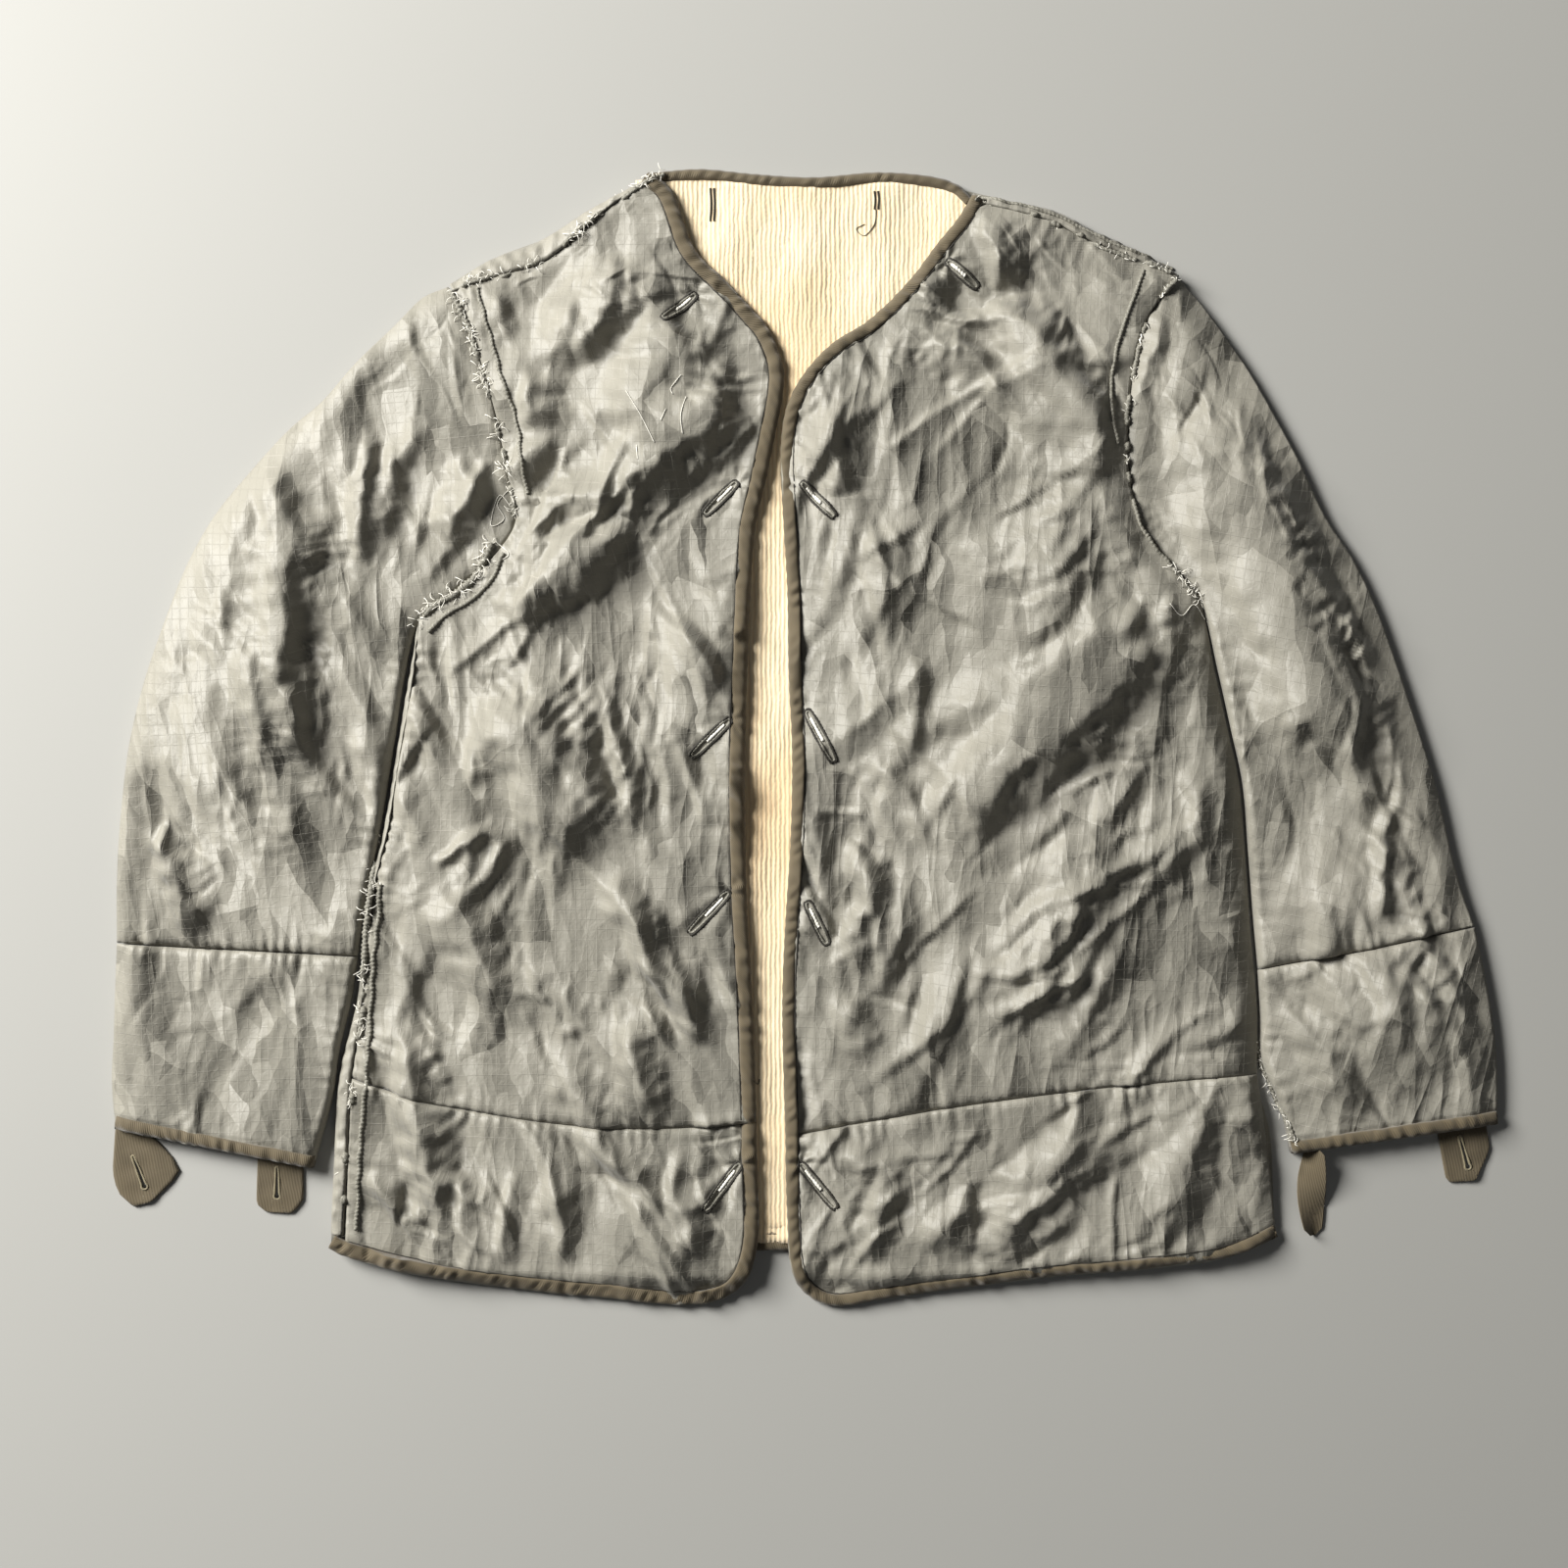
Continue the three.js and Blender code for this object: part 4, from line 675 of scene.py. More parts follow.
def cross_seam(front):
    """The seam between a front and its hem band, from the left to the right."""
    seam, edge = front["rows"][-1, :2], front["rows"][-1, 2:]
    t = np.linspace(0, 1, 60)[:, None]
    run = seam * (1 - t) + edge * t
    run[:, 1] -= front["sag"] * 4 * (t * (1 - t))[:, 0]
    return run if run[0, 0] < run[-1, 0] else run[::-1]


for front in fronts.values():
    front["seam"] = cross_seam(front)


def front_base(x, y):
    """Underside of the fronts: on the pile, and on the floor past the back's hem."""
    past = np.interp(x, hem_line[:, 0], hem_line[:, 1]) - y
    return FRONT_BASE * (1 - smooth((past - HEM_CLEAR) / HEM_DROP)) + 0.1


def front_height(front, x, y):
    """Upper side of a front and its hem band."""
    from_edge, _, _ = nearest(front["edge"], x, y)
    from_side, _, _ = nearest(front["side"], x, y)
    from_seam, _, _ = nearest(front["seam"], x, y)
    calm_edge = 0.3 + 0.7 * smooth(from_edge / 30)
    calm_side = 0.25 + 0.75 * smooth(from_side / 22)
    loft = fold_height(x, y, front["folds"]) * calm_edge * calm_side
    for crease in front["creases"]:
        run = np.array(crease, float)
        away, along, side = nearest(run, x, y)
        size = np.hypot(*np.diff(run, axis=0).T).sum()
        taper = smooth(np.minimum(along, size - along) / (0.25 * size))
        loft += 3.2 * taper * np.exp(-away / np.where(side > 0, 11, 2.0))
    small = crumpled(x, y, front["seed"], front["flow"])
    loft += small * (0.35 + 0.65 * smooth(from_edge / 14)) * (0.5 + 0.5 * smooth(from_side / 12))
    loft += puckers(x, y, front["seam"], 9, 8.5, 0.9, front["seed"] + 20)
    loft += puckers(x, y, front["edge"], 15, 12, 0.7, front["seed"] + 22)
    loft += puckers(x, y, front["side"], 11, 8, 0.7, front["seed"] + 24)
    loft -= 1.5 * np.exp(-(from_seam / 2.0) ** 1.5) + 1.0 * np.exp(-(from_side / 3.0) ** 1.5)
    for slit in front["buttonholes"]:
        away, _, _ = nearest(np.array(slit, float), x, y)
        ray = np.sin(6 * np.arctan2(y - slit[0][1], x - slit[0][0]) + slit[0][1])
        loft += 0.8 * ray * np.exp(-((away - 6) / 5) ** 2) - 0.9 * np.exp(-(away / 3.6) ** 2)
    height = front_base(x, y) + FRONT_CLOTH + np.maximum(limited(loft), -3.2)
    if front is fronts["right"]:
        along_side = smooth((95 - y) / 25)
        roll = np.sin(np.clip(from_side / 18, 0, 1) * math.pi / 2) ** 0.8
        rolled = 3.2 + (height - 3.2) * roll
        height = height * (1 - along_side) + rolled * along_side
    return height


def recessed(front, x, y, z):
    """Lets the cloth down where the tape lies on it."""
    from_edge, _, _ = nearest(front["edge"], x, y)
    return z - 1.0 * (1 - smooth((from_edge - front["tape"] + 1.2) / 1.2))


def front_cloth(front, points):
    """A wall of cloth over a grid of points, from the base to the upper side."""
    x, y = points[..., 0].ravel(), points[..., 1].ravel()
    height = front_height(front, x, y)
    top = np.column_stack([x, y, recessed(front, x, y, height)])
    under = np.column_stack([x, y, np.minimum(front_base(x, y), height - 2.2)])
    return walled(top, under, grid_faces(*points.shape[:2]))


FRONT_COLUMNS, FRONT_PITCH = 118, 2.15  # fine enough for creases 9 mm long
SEAM_GAP = 0.35  # between a panel and the seam beside it


def inset_columns(left, right, columns, gap):
    """Rows of points between two runs, a gap in from both."""
    t = np.linspace(0, 1, columns)[None, :, None]
    span = np.hypot(*(right - left).T)[:, None, None]
    t = gap / span + t * (1 - 2 * gap / span)
    return left[:, None] * (1 - t) + right[:, None] * t


for way, front in fronts.items():
    rows = spaced(front["rows"], FRONT_PITCH)
    seam, edge = rows[:, :2], rows[:, 2:]
    left, right = (seam, edge) if way == "left" else (edge, seam)
    grid = inset_columns(left, right, FRONT_COLUMNS, SEAM_GAP)
    fraction = np.linspace(0, 1, FRONT_COLUMNS)[None, :]
    travelled = np.linspace(0, 1, len(rows))[:, None]
    grid[..., 1] -= front["sag"] * 4 * fraction * (1 - fraction) * smooth((travelled - 0.78) / 0.22)
    grid[-1, :, 1] += 0.25
    panel = sewn_piece(f"{way}_front_cloth", front_cloth(front, grid), ripstop,
                       [f"{way}_front"], grain=0.02 if way == "left" else -0.04)


# The hem bands: straight strips of the same nylon and pile, sewn on below the cross seam, with
# round lower corners at the front.
HEM_COLUMNS, HEM_ROWS = 190, 52


def evenly(run, count):
    """The run with that many points, at even steps of its own points."""
    marks = np.linspace(0, 1, count)
    return np.column_stack([np.interp(marks, np.linspace(0, 1, len(run)), column) for column in run.T])


for way, front in fronts.items():
    hem = spaced(spline(front["hem"]), 1.6)
    if way == "right":
        hem = hem[::-1]
    seam, hem = evenly(front["seam"], HEM_COLUMNS), evenly(hem, HEM_COLUMNS)
    t = np.linspace(0, 1, HEM_ROWS)[:, None, None]
    grid = seam[None] * (1 - t) + hem[None] * t
    grid[0, :, 1] -= 0.15
    inward = np.array([0.4, 0.0]) if way == "left" else np.array([-0.4, 0.0])
    grid[:, 0 if way == "left" else -1] += inward
    band = sewn_piece(f"{way}_hem_band_cloth", front_cloth(front, grid), ripstop,
                      [f"{way}_hem_band"], grain=-0.04 if way == "left" else 0.06)


# The sleeves: each a tube pressed flat, set into the armhole, with its outer edge rolled down to
# the floor. The upper half shows; the lower half is flat on the floor.
LEFT_SLEEVE = [(-375, 105, -233, 69), (-390, 67, -242, 37), (-402, 31, -248, -3), (-411, -8, -255, -46),
               (-416, -53, -261, -77), (-418, -89, -267, -107), (-418, -126, -270.6, -134)]
LEFT_CUFF = [(-418, -126, -270.6, -134), (-419, -153, -274.8, -161), (-420, -185, -282, -192),
             (-421, -210, -286, -220), (-419, -239, -298, -263)]
RIGHT_SLEEVE = [(350, 79, 243, 82), (363, 43, 253.5, 40), (376, 4, 261.5, 4), (387, -32, 268.5, -29),
                (396, -71, 271.8, -68), (403, -96, 274.6, -105), (410, -116, 277.8, -142)]
RIGHT_CUFF = [(410, -116, 277.8, -142), (417, -148, 279.4, -170), (422, -179, 280.5, -198),
              (424, -206, 290, -222), (424, -236, 298, -254)]
LEFT_SLEEVE_FOLDS = [
    (-287, 139, -312, 79, -300, -29, 10, 30, 18), (-256, 187, -264, 139, -267, 91, 5, 14, 10),
    (-236, 187, -250, 151, -252, 115, 4, 10, 9), (-195, 166, -206, 136, -218, 115, 8, 20, 12),
    (-332, 67, -332, 31, -320, -8, 4, 14, 9), (-388, -47, -376, -83, -363, -124, 6, 16, 14),
    (-261, 7, -258, -29, -254, -65, 5, 12, 10), (-263, 211, -347, 67, -353, -119, 5, 45, 60),
]
RIGHT_SLEEVE_FOLDS = [
    (244, 211, 289, 91, 349, -47, 14, 50, 45), (307, -59, 349, -137, 373, -221, 8, 60, 45),
    (223, 259, 212, 229, 204, 193, 4, 9, 7), (342, 37, 336, 7, 331, -29, 4, 10, 8),
    (367, -35, 354, -71, 351, -119, 4, 12, 8), (316, 37, 304, 13, 292, -8, 3, 8, 8),
    (283, -155, 313, -191, 340, -233, 5, 16, 16), (349, -140, 352, -155, 346, -173, 4, 12, 16),
    (313, -140, 328, -161, 334, -185, 4, 10, 12),
]
SLEEVE_RIM = 5.9  # height at which the two halves of a sleeve meet


def sleeve_rows(armhole, sleeve):
    """Outer edge and inner edge or armhole seam of a sleeve, from the shoulder down."""
    return [(row[4], row[5], row[0], row[1]) for row in armhole[:-1]] + sleeve


# Of each sleeve: its rows from outer to inner edge, its folds, how wide its outer edge is rolled,
# how crumpled it is, its flat cuts, and how its small creases run.
sleeves = {
    "left": {"rows": sleeve_rows(LEFT_ARMHOLE, LEFT_SLEEVE), "cuff": LEFT_CUFF, "folds": LEFT_SLEEVE_FOLDS,
             "round": 14, "seed": 300, "grain": 0.10, "rough": 0.75, "cut": (0.26, 0.42), "area": 0.06,
             "cuff_cut": (0.155, 0.14), "cuff_area": 0.0175,
             "flow": [(-240, 230, -1.1), (-300, 150, -1.2), (-230, 110, 1.1), (-350, 60, -1.2),
                      (-270, 0, 1.5), (-380, -60, -1.1), (-300, -110, -0.9), (-350, -200, 1.2)]},
    "right": {"rows": sleeve_rows(RIGHT_ARMHOLE, RIGHT_SLEEVE), "cuff": RIGHT_CUFF,
              "folds": RIGHT_SLEEVE_FOLDS, "round": 26, "seed": 400, "grain": -0.16, "rough": 0.85,
              "cut": (0.225, 0.43), "area": 0.0445, "cuff_cut": (0.15, 0.14), "cuff_area": 0.0168,
              "flow": [(240, 230, -1.3), (290, 120, -1.2), (250, 60, -0.9), (320, 20, -1.1), (290, -60, -1.4),
                       (360, -80, -1.1), (330, -180, -0.9)]},
}
for sleeve in sleeves.values():
    rows = sleeve["rows"][:-1] + sleeve["cuff"]
    sleeve["outer"] = outline(columns_of(rows, 0))
    sleeve["inner"] = outline(columns_of(rows, 2))
    sleeve["seam"] = np.array([sleeve["cuff"][0][:2], sleeve["cuff"][0][2:]], float)
    sleeve["end"] = np.array([sleeve["cuff"][-1][:2], sleeve["cuff"][-1][2:]], float)


def sleeve_height(sleeve, x, y):
    """Upper side of a sleeve and its cuff band."""
    from_outer, _, _ = nearest(sleeve["outer"], x, y)
    from_inner, along, _ = nearest(sleeve["inner"], x, y)
    from_seam, _, _ = nearest(sleeve["seam"], x, y)
    from_end, _, _ = nearest(sleeve["end"], x, y)
    at_armhole = 1 - smooth((along - 215) / 30)
    rounded = np.sin(np.clip(from_outer / sleeve["round"], 0, 1) * math.pi / 2) ** 0.9
    inner_round = np.sin(np.clip(from_inner / 4, 0, 1) * math.pi / 2) ** 0.7
    inner_round = inner_round * (1 - at_armhole) + at_armhole
    calm = 0.25 + 0.75 * smooth(np.minimum(from_outer, from_inner) / 22)
    cuff = smooth((from_end - 20) / 90)
    loft = fold_height(x, y, sleeve["folds"]) * calm
    loft += crumpled(x, y, sleeve["seed"], sleeve["flow"]) * calm * sleeve["rough"] * (0.45 + 0.55 * cuff)
    loft += puckers(x, y, sleeve["seam"], 9, 7, 0.8, sleeve["seed"] + 20)
    loft += puckers(x, y, sleeve["inner"], 10, 9, 0.6, sleeve["seed"] + 22)
    loft += puckers(x, y, sleeve["end"], 10, 9, 0.6, sleeve["seed"] + 24)
    loft -= 2.2 * np.exp(-(from_seam / 2.2) ** 1.5) + 1.6 * at_armhole * np.exp(-(from_inner / 3.0) ** 1.5)
    loft = np.maximum(limited(loft), -3.0)
    return SLEEVE_RIM + (FRONT_CLOTH + loft) * np.minimum(rounded, inner_round)


def sleeve_grid(rows, columns, pitch):
    """A grid over a sleeve or a cuff band, from left to right and from the top down."""
    run = spaced(spline(rows), pitch)
    outer, inner = run[:, :2], run[:, 2:]
    if outer[-1, 0] < inner[-1, 0]:
        return inset_columns(outer, inner, columns, SEAM_GAP)
    return inset_columns(inner, outer, columns, SEAM_GAP)


def sleeve_top(sleeve, points, taped):
    """The upper half over a grid of points, let down at the cuff where it is taped."""
    x, y = points[..., 0].ravel(), points[..., 1].ravel()
    height = sleeve_height(sleeve, x, y)
    if taped:
        from_end, _, _ = nearest(sleeve["end"], x, y)
        height = height - 1.0 * (1 - smooth((from_end - 8.0) / 1.2))
    top = np.column_stack([x, y, height])
    under = np.column_stack([x, y, np.minimum(5.3, height - 0.6)])
    return walled(top, under, grid_faces(*points.shape[:2]))


def sleeve_under(sleeve, points):
    """The lower half: flat on the floor with shallow dents, lifting a little at both edges."""
    x, y = points[..., 0].ravel(), points[..., 1].ravel()
    from_outer, _, _ = nearest(sleeve["outer"], x, y)
    from_inner, _, _ = nearest(sleeve["inner"], x, y)
    lift = 2.2 * (1 - smooth(np.minimum(from_outer, from_inner) / 9)) ** 1.5
    hollows = swell(x, y, 50, sleeve["seed"] + 40)
    dents = np.clip(0.3 + 0.35 * hollows + crinkle(x, y, 34, 0.06, 0.4, 1.5, 7), 0, 0.9)
    return walled(np.column_stack([x, y, np.full(x.shape, 5.0)]), np.column_stack([x, y, lift + dents * 0.7]),
                  grid_faces(*points.shape[:2]))


for way, sleeve in sleeves.items():
    upper = sleeve_grid(sleeve["rows"], 82, 2.0)
    upper[-1, :, 1] += 0.3
    half = sewn_piece(f"{way}_sleeve_upper_cloth", sleeve_top(sleeve, upper, False), ripstop,
                      [f"{way}_sleeve_top"], grain=sleeve["grain"])
    lower = sleeve_grid(sleeve["rows"], 40, 5.0)
    half = sewn_piece(f"{way}_sleeve_lower_cloth", sleeve_under(sleeve, lower), ripstop,
                      [f"{way}_sleeve_under"], grain=sleeve["grain"])


# The cuff bands: the straight ends of the sleeves, of the same nylon and pile, sewn on below their
# cross seam and let down at the cuff where the tape covers them. Each is in two halves, too.
for way, sleeve in sleeves.items():
    upper = sleeve_grid(sleeve["cuff"], 80, 1.9)
    upper[0] = upper[0] * 0.8 + upper[1] * 0.2
    half = sewn_piece(f"{way}_cuff_band_upper_cloth", sleeve_top(sleeve, upper, True), ripstop,
                      [f"{way}_cuff_band_top"], grain=sleeve["grain"] - 0.06)
    lower = sleeve_grid(sleeve["cuff"], 40, 4.0)
    lower[0] = lower[0] * 0.8 + lower[1] * 0.2
    half = sewn_piece(f"{way}_cuff_band_lower_cloth", sleeve_under(sleeve, lower), ripstop,
                      [f"{way}_cuff_band_under"], grain=sleeve["grain"] - 0.06)




# The binding: brown cotton twill cut on the bias, 9 mm wide on the left front, 7 or 8 mm elsewhere,
# folded over every raw edge and stitched down. It is puffy and twists a little between stitches.
twill, tree = new_finish("cotton_twill")
weave = add_node(tree, "ShaderNodeUVMap", uv_map="weave")
TWILL_LINE = 0.0009  # metres, twice the real spacing of the diagonals, so that they show
PUCKER_PITCH = 8.2  # millimetres between the tape's puckers
slanted = add_node(tree, "ShaderNodeMapping", {"Vector": weave.outputs["UV"], "Rotation": (0, 0, 0.8)})
lines = add_node(tree, "ShaderNodeTexWave", {
    "Vector": slanted.outputs["Vector"], "Scale": 0.3142 / TWILL_LINE, "Distortion": 0.6, "Detail": 1.0})
stains = add_node(tree, "ShaderNodeTexNoise", {"Vector": weave.outputs["UV"], "Scale": 60.0, "Detail": 5.0})
faded = add_node(tree, "ShaderNodeMix", {
    0: stains.outputs["Fac"], 6: linear("#3d3423"), 7: linear("#5f533d")}, data_type="RGBA")
threads = add_node(tree, "ShaderNodeMath", {0: lines.outputs["Fac"], 1: 0.22}, operation="MULTIPLY")
lit = add_node(tree, "ShaderNodeMix", {0: threads.outputs["Value"], 6: faded.outputs[2],
                                       7: linear("#7a6e4f")}, data_type="RGBA")
relief = add_node(tree, "ShaderNodeBump", {"Height": lines.outputs["Fac"], "Strength": 0.5,
                                           "Distance": 0.0004})
shader = add_node(tree, "ShaderNodeBsdfPrincipled", {
    "Base Color": lit.outputs[2], "Roughness": 0.8, "Sheen Weight": 0.25, "Sheen Roughness": 0.5,
    "Normal": relief.outputs["Normal"]})
add_node(tree, "ShaderNodeOutputMaterial", {"Surface": shader.outputs["BSDF"]})


def directions(run):
    """The way along a run at each of its points, and square to its left."""
    way = np.gradient(run[:, :2], axis=0)
    way = way / np.maximum(np.hypot(*way.T), 1e-9)[:, None]
    return way, np.column_stack([-way[:, 1], way[:, 0]])


def bound_edge(run, side, width, top, under, seed, puff=1.0):
    """A tape folded over an edge. side: 1 if the cloth lies to the left of the run, -1 to the right;
    top, under: the heights of the cloth's two sides. Gives its shape and the lie of its weave."""
    _, left = directions(run)
    inward = side * left
    along = np.concatenate([[0], np.cumsum(np.hypot(*np.diff(run, axis=0).T))])
    across = np.array([1.0, 0.97, 0.86, 0.7, 0.52, 0.34, 0.18, 0.06]) * width
    loft = np.array([-0.9, 0.15, 0.9, 1.3, 1.45, 1.3, 0.8, -0.25]) * puff
    beat = FULL_TURN / PUCKER_PITCH
    twist = np.sin(along[:, None] * beat + across * 0.55 + 1.6 * swell(along, 0 * along, 40, seed)[:, None])
    strength = np.clip(0.6 + 0.5 * swell(along, 0 * along, 28, seed + 1), 0.15, 1.2)[:, None]
    wander = 0.5 * swell(along, 0 * along, 34, seed + 2)[:, None]
    place = run[:, None] + inward[:, None] * (across * (1 + 0.05 * wander))[..., None]
    rope = 0.7 * twist * strength * np.sin(across / width * math.pi)
    level = top(place[..., 0], place[..., 1]) + loft + rope
    edge_top, edge_under = level[:, -1], under(run[:, 0], run[:, 1])
    turn = np.linspace(0, 1, 5)[1:-1]
    bulge = (-0.35 - 0.15 * twist[:, -1:]) * np.sin(turn * math.pi)
    round_place = run[:, None] + inward[:, None] * (across[-1] * (1 - turn) * 0.3 + bulge)[..., None]
    round_level = edge_top[:, None] * (1 - turn) + edge_under[:, None] * turn
    low_across = np.array([0.25, 0.5, 0.9, 0.95, 0.98]) * width
    low_place = run[:, None] + inward[:, None] * low_across[:, None]
    low_level = edge_under[:, None] + np.array([-0.35, -0.4, -0.35, 0.4, 0.9])
    place = np.concatenate([place, round_place, low_place], 1)
    level = np.concatenate([level, round_level, np.maximum(low_level, 0.05)], 1)
    sections = np.dstack([place, level])
    steps = np.hypot(np.diff(place[..., 0], axis=1, prepend=place[:, :1, 0]),
                     np.diff(level, axis=1, prepend=level[:, :1]))
    lie = np.dstack([along[:, None] + 0 * level, np.cumsum(np.maximum(steps, 0.4), axis=1)])
    return swept(sections), lie.reshape(-1, 2)


def level_at(height):
    """The same height all over."""
    return lambda x, y: height + 0 * x


EDGE_TABLES = {"left": (LEFT_SHOULDER, LEFT_ARMHOLE, LEFT_SIDE),
               "right": (RIGHT_SHOULDER, RIGHT_ARMHOLE, RIGHT_SIDE)}
NECK_CORNER = {"left": (-93, 342.5), "right": (103.5, 329)}


def edge_run(way):
    """The edge of a front that is taped: from the neck down the front and round the hem."""
    shoulder, armhole, side = EDGE_TABLES[way]
    points = columns_of(shoulder, 2)[:-1] + columns_of(armhole, 2)[:-1] + columns_of(side, 2)
    points = [NECK_CORNER[way]] + points + fronts[way]["hem"][::-1]
    if way == "left":
        points += [(-288, -311)]
    return spaced(spline(points, 8), 1.3)


for way, front in fronts.items():
    shape, lie = bound_edge(edge_run(way), -1 if way == "left" else 1, front["tape"],
                            lambda x, y, front=front: front_height(front, x, y),
                            front_base, front["seed"] + 50)
    tape = sewn_piece(f"{way}_front_tape", shape, twill, [f"{way}_front_binding"], lie=lie)

neck_run = spaced(spline(BACK_NECK), 1.3)
shape, lie = bound_edge(neck_run, -1, 7.0, level_at(6.0), level_at(0.6), 511, puff=1.7)
tape = sewn_piece("neck_tape", shape, twill, ["back_neck_binding"], lie=lie)
hem_run = spaced(spline(BACK_HEM), 1.6)
shape, lie = bound_edge(hem_run, 1, 7.0, level_at(4.4), level_at(0.5), 521, puff=0.9)
tape = sewn_piece("back_hem_tape", shape, twill, ["back_hem_binding"], lie=lie)

for way, sleeve in sleeves.items():
    cuff_run = spaced(sleeve["end"] if way == "left" else sleeve["end"][::-1], 1.3)
    shape, lie = bound_edge(cuff_run, 1, 8.0, lambda x, y, sleeve=sleeve: sleeve_height(sleeve, x, y),
                            level_at(5.5), sleeve["seed"] + 60)
    tape = sewn_piece(f"{way}_cuff_upper_tape", shape, twill,
                      [f"{way}_cuff_binding_top"], lie=lie)
    shape, lie = bound_edge(cuff_run, 1, 8.0, level_at(4.3), level_at(0.5), sleeve["seed"] + 64, puff=0.5)
    tape = sewn_piece(f"{way}_cuff_lower_tape", shape, twill,
                      [f"{way}_cuff_binding_under"], lie=lie)


# The tabs: doubled tape sewn into each cuff, with a keyhole buttonhole that buttons the liner to
# its coat. Three lie flat; the inner one on the right sleeve lies twisted on its edge. The keyholes
# are worked in mercerised cotton thread, which is a little brighter than the tape.
cotton, tree = new_finish("cotton_thread")
strands = add_node(tree, "ShaderNodeTexNoise", {"Scale": 900.0, "Detail": 2.0})
dull = add_node(tree, "ShaderNodeMix", {
    0: strands.outputs["Fac"], 6: linear("#5b5340"), 7: linear("#938869")}, data_type="RGBA")
shader = add_node(tree, "ShaderNodeBsdfPrincipled", {
    "Base Color": dull.outputs[2], "Roughness": 0.7, "Sheen Weight": 0.3})
add_node(tree, "ShaderNodeOutputMaterial", {"Surface": shader.outputs["BSDF"]})

# Of each flat tab: its corners, and the round eye and the foot of its keyhole.
TABS = {
    "left_outer_tab": ([(-420, -236), (-402, -240), (-386, -256), (-380, -267), (-398, -285), (-409, -288),
                        (-419, -279), (-422, -266)], (-402, -275), (-409, -257)),
    "left_inner_tab": ([(-333, -253), (-305, -259), (-305, -284), (-312, -292), (-328, -291), (-334, -286)],
                       (-321, -281), (-321, -264)),
    "right_outer_tab": ([(388, -238), (418, -234), (421, -252), (418, -259), (412, -272), (394, -273)],
                        (407, -263), (402, -245)),
}
TAB_TOP = 2.0  # the height at which a keyhole's thread is worked


def rounded_loop(corners, count):
    """A closed loop through corners, a little rounded at each."""
    corners = np.asarray(corners, float)
    points = []
    for before, corner, after in zip(np.roll(corners, 1, 0), corners, np.roll(corners, -1, 0)):
        for t in np.linspace(0, 1, 5):
            start, end = corner + (before - corner) * 0.16, corner + (after - corner) * 0.16
            points.append((1 - t) ** 2 * start + 2 * t * (1 - t) * corner + t ** 2 * end)
    points.append(points[0])
    return spaced(np.array(points), np.hypot(*np.diff(points, axis=0).T).sum() / count)[:-1]


def keyhole_loop(eye, foot, wide, count):
    """The outline of a keyhole: a round eye at one end of a narrow slit."""
    eye, foot = np.array(eye, float), np.array(foot, float)
    down = (foot - eye) / np.hypot(*(foot - eye))
    square = np.array([-down[1], down[0]])
    turn = np.linspace(0.9, 2 * math.pi - 0.9, 24)
    points = [eye + wide * 1.5 * (down * math.cos(a) + square * math.sin(a)) for a in turn]
    turn = np.linspace(-1.2, 1.2, 10)
    points += [foot + wide * 0.7 * (down * math.cos(a) + square * math.sin(a)) for a in turn]
    points.append(points[0])
    return spaced(np.array(points), np.hypot(*np.diff(points, axis=0).T).sum() / count)[:-1]


def bead(path, thick, stitch, seed=0):
    """A round thread edge along a path, with the stitches that wrap it as fine ridges."""
    way = np.gradient(path, axis=0)
    way = way / np.maximum(np.linalg.norm(way, axis=1), 1e-9)[:, None]
    square = np.cross(way, [0, 0, 1.0])
    square = square / np.maximum(np.linalg.norm(square, axis=1), 1e-9)[:, None]
    up = np.cross(square, way)
    along = np.concatenate([[0], np.cumsum(np.linalg.norm(np.diff(path, axis=0), axis=1))])
    turn = np.linspace(0, 2 * math.pi, 9 if thick > 0.6 else 7)[:-1]
    ridge = 1 + 0.22 * np.sin(along[:, None] * FULL_TURN / stitch + turn * 1.0)
    radius = (thick * ridge * (1 + 0.15 * swell(along, 0 * along, 9, seed)[:, None]))[..., None]
    spokes = square[:, None] * np.cos(turn)[:, None] + up[:, None] * np.sin(turn)[:, None]
    return swept(path[:, None] + radius * spokes)


def tab_shape(corners, eye, foot):
    """A flat tab of doubled tape with a keyhole cut through it."""
    count = 96
    hole = keyhole_loop(eye, foot, 1.3, count)
    rim = rounded_loop(corners, 4 * count)
    middle = hole.mean(0)
    angle = np.unwrap(np.arctan2(*(hole - middle).T[::-1]))
    rim_angle = np.arctan2(*(rim - middle).T[::-1])
    nearest_rim = np.abs(np.angle(np.exp(1j * (rim_angle[None] - angle[:, None])))).argmin(1)
    outer = rim[nearest_rim]
    t = np.array([0, 0.02, 0.06, 0.14, 0.25, 0.4, 0.55, 0.7, 0.85, 0.94, 1.0])[:, None, None]
    grid = outer[None] * (1 - t) + hole[None] * t
    t = t[..., 0] + 0 * grid[..., 0]
    level = 0.9 + 1.2 * np.sqrt(np.clip(t / 0.06, 0, 1)) * np.sqrt(np.clip((1 - t) / 0.04 + 0.5, 0, 1))
    level += 0.35 * swell(grid[..., 0], grid[..., 1], 16, 71) * smooth(t / 0.1)
    faces = grid_faces(grid.shape[0], count, wrap=True)
    top = np.column_stack([grid.reshape(-1, 2), level.ravel()])
    return walled(top, np.column_stack([grid.reshape(-1, 2), np.full(top.shape[0], 0.15)]), faces), hole


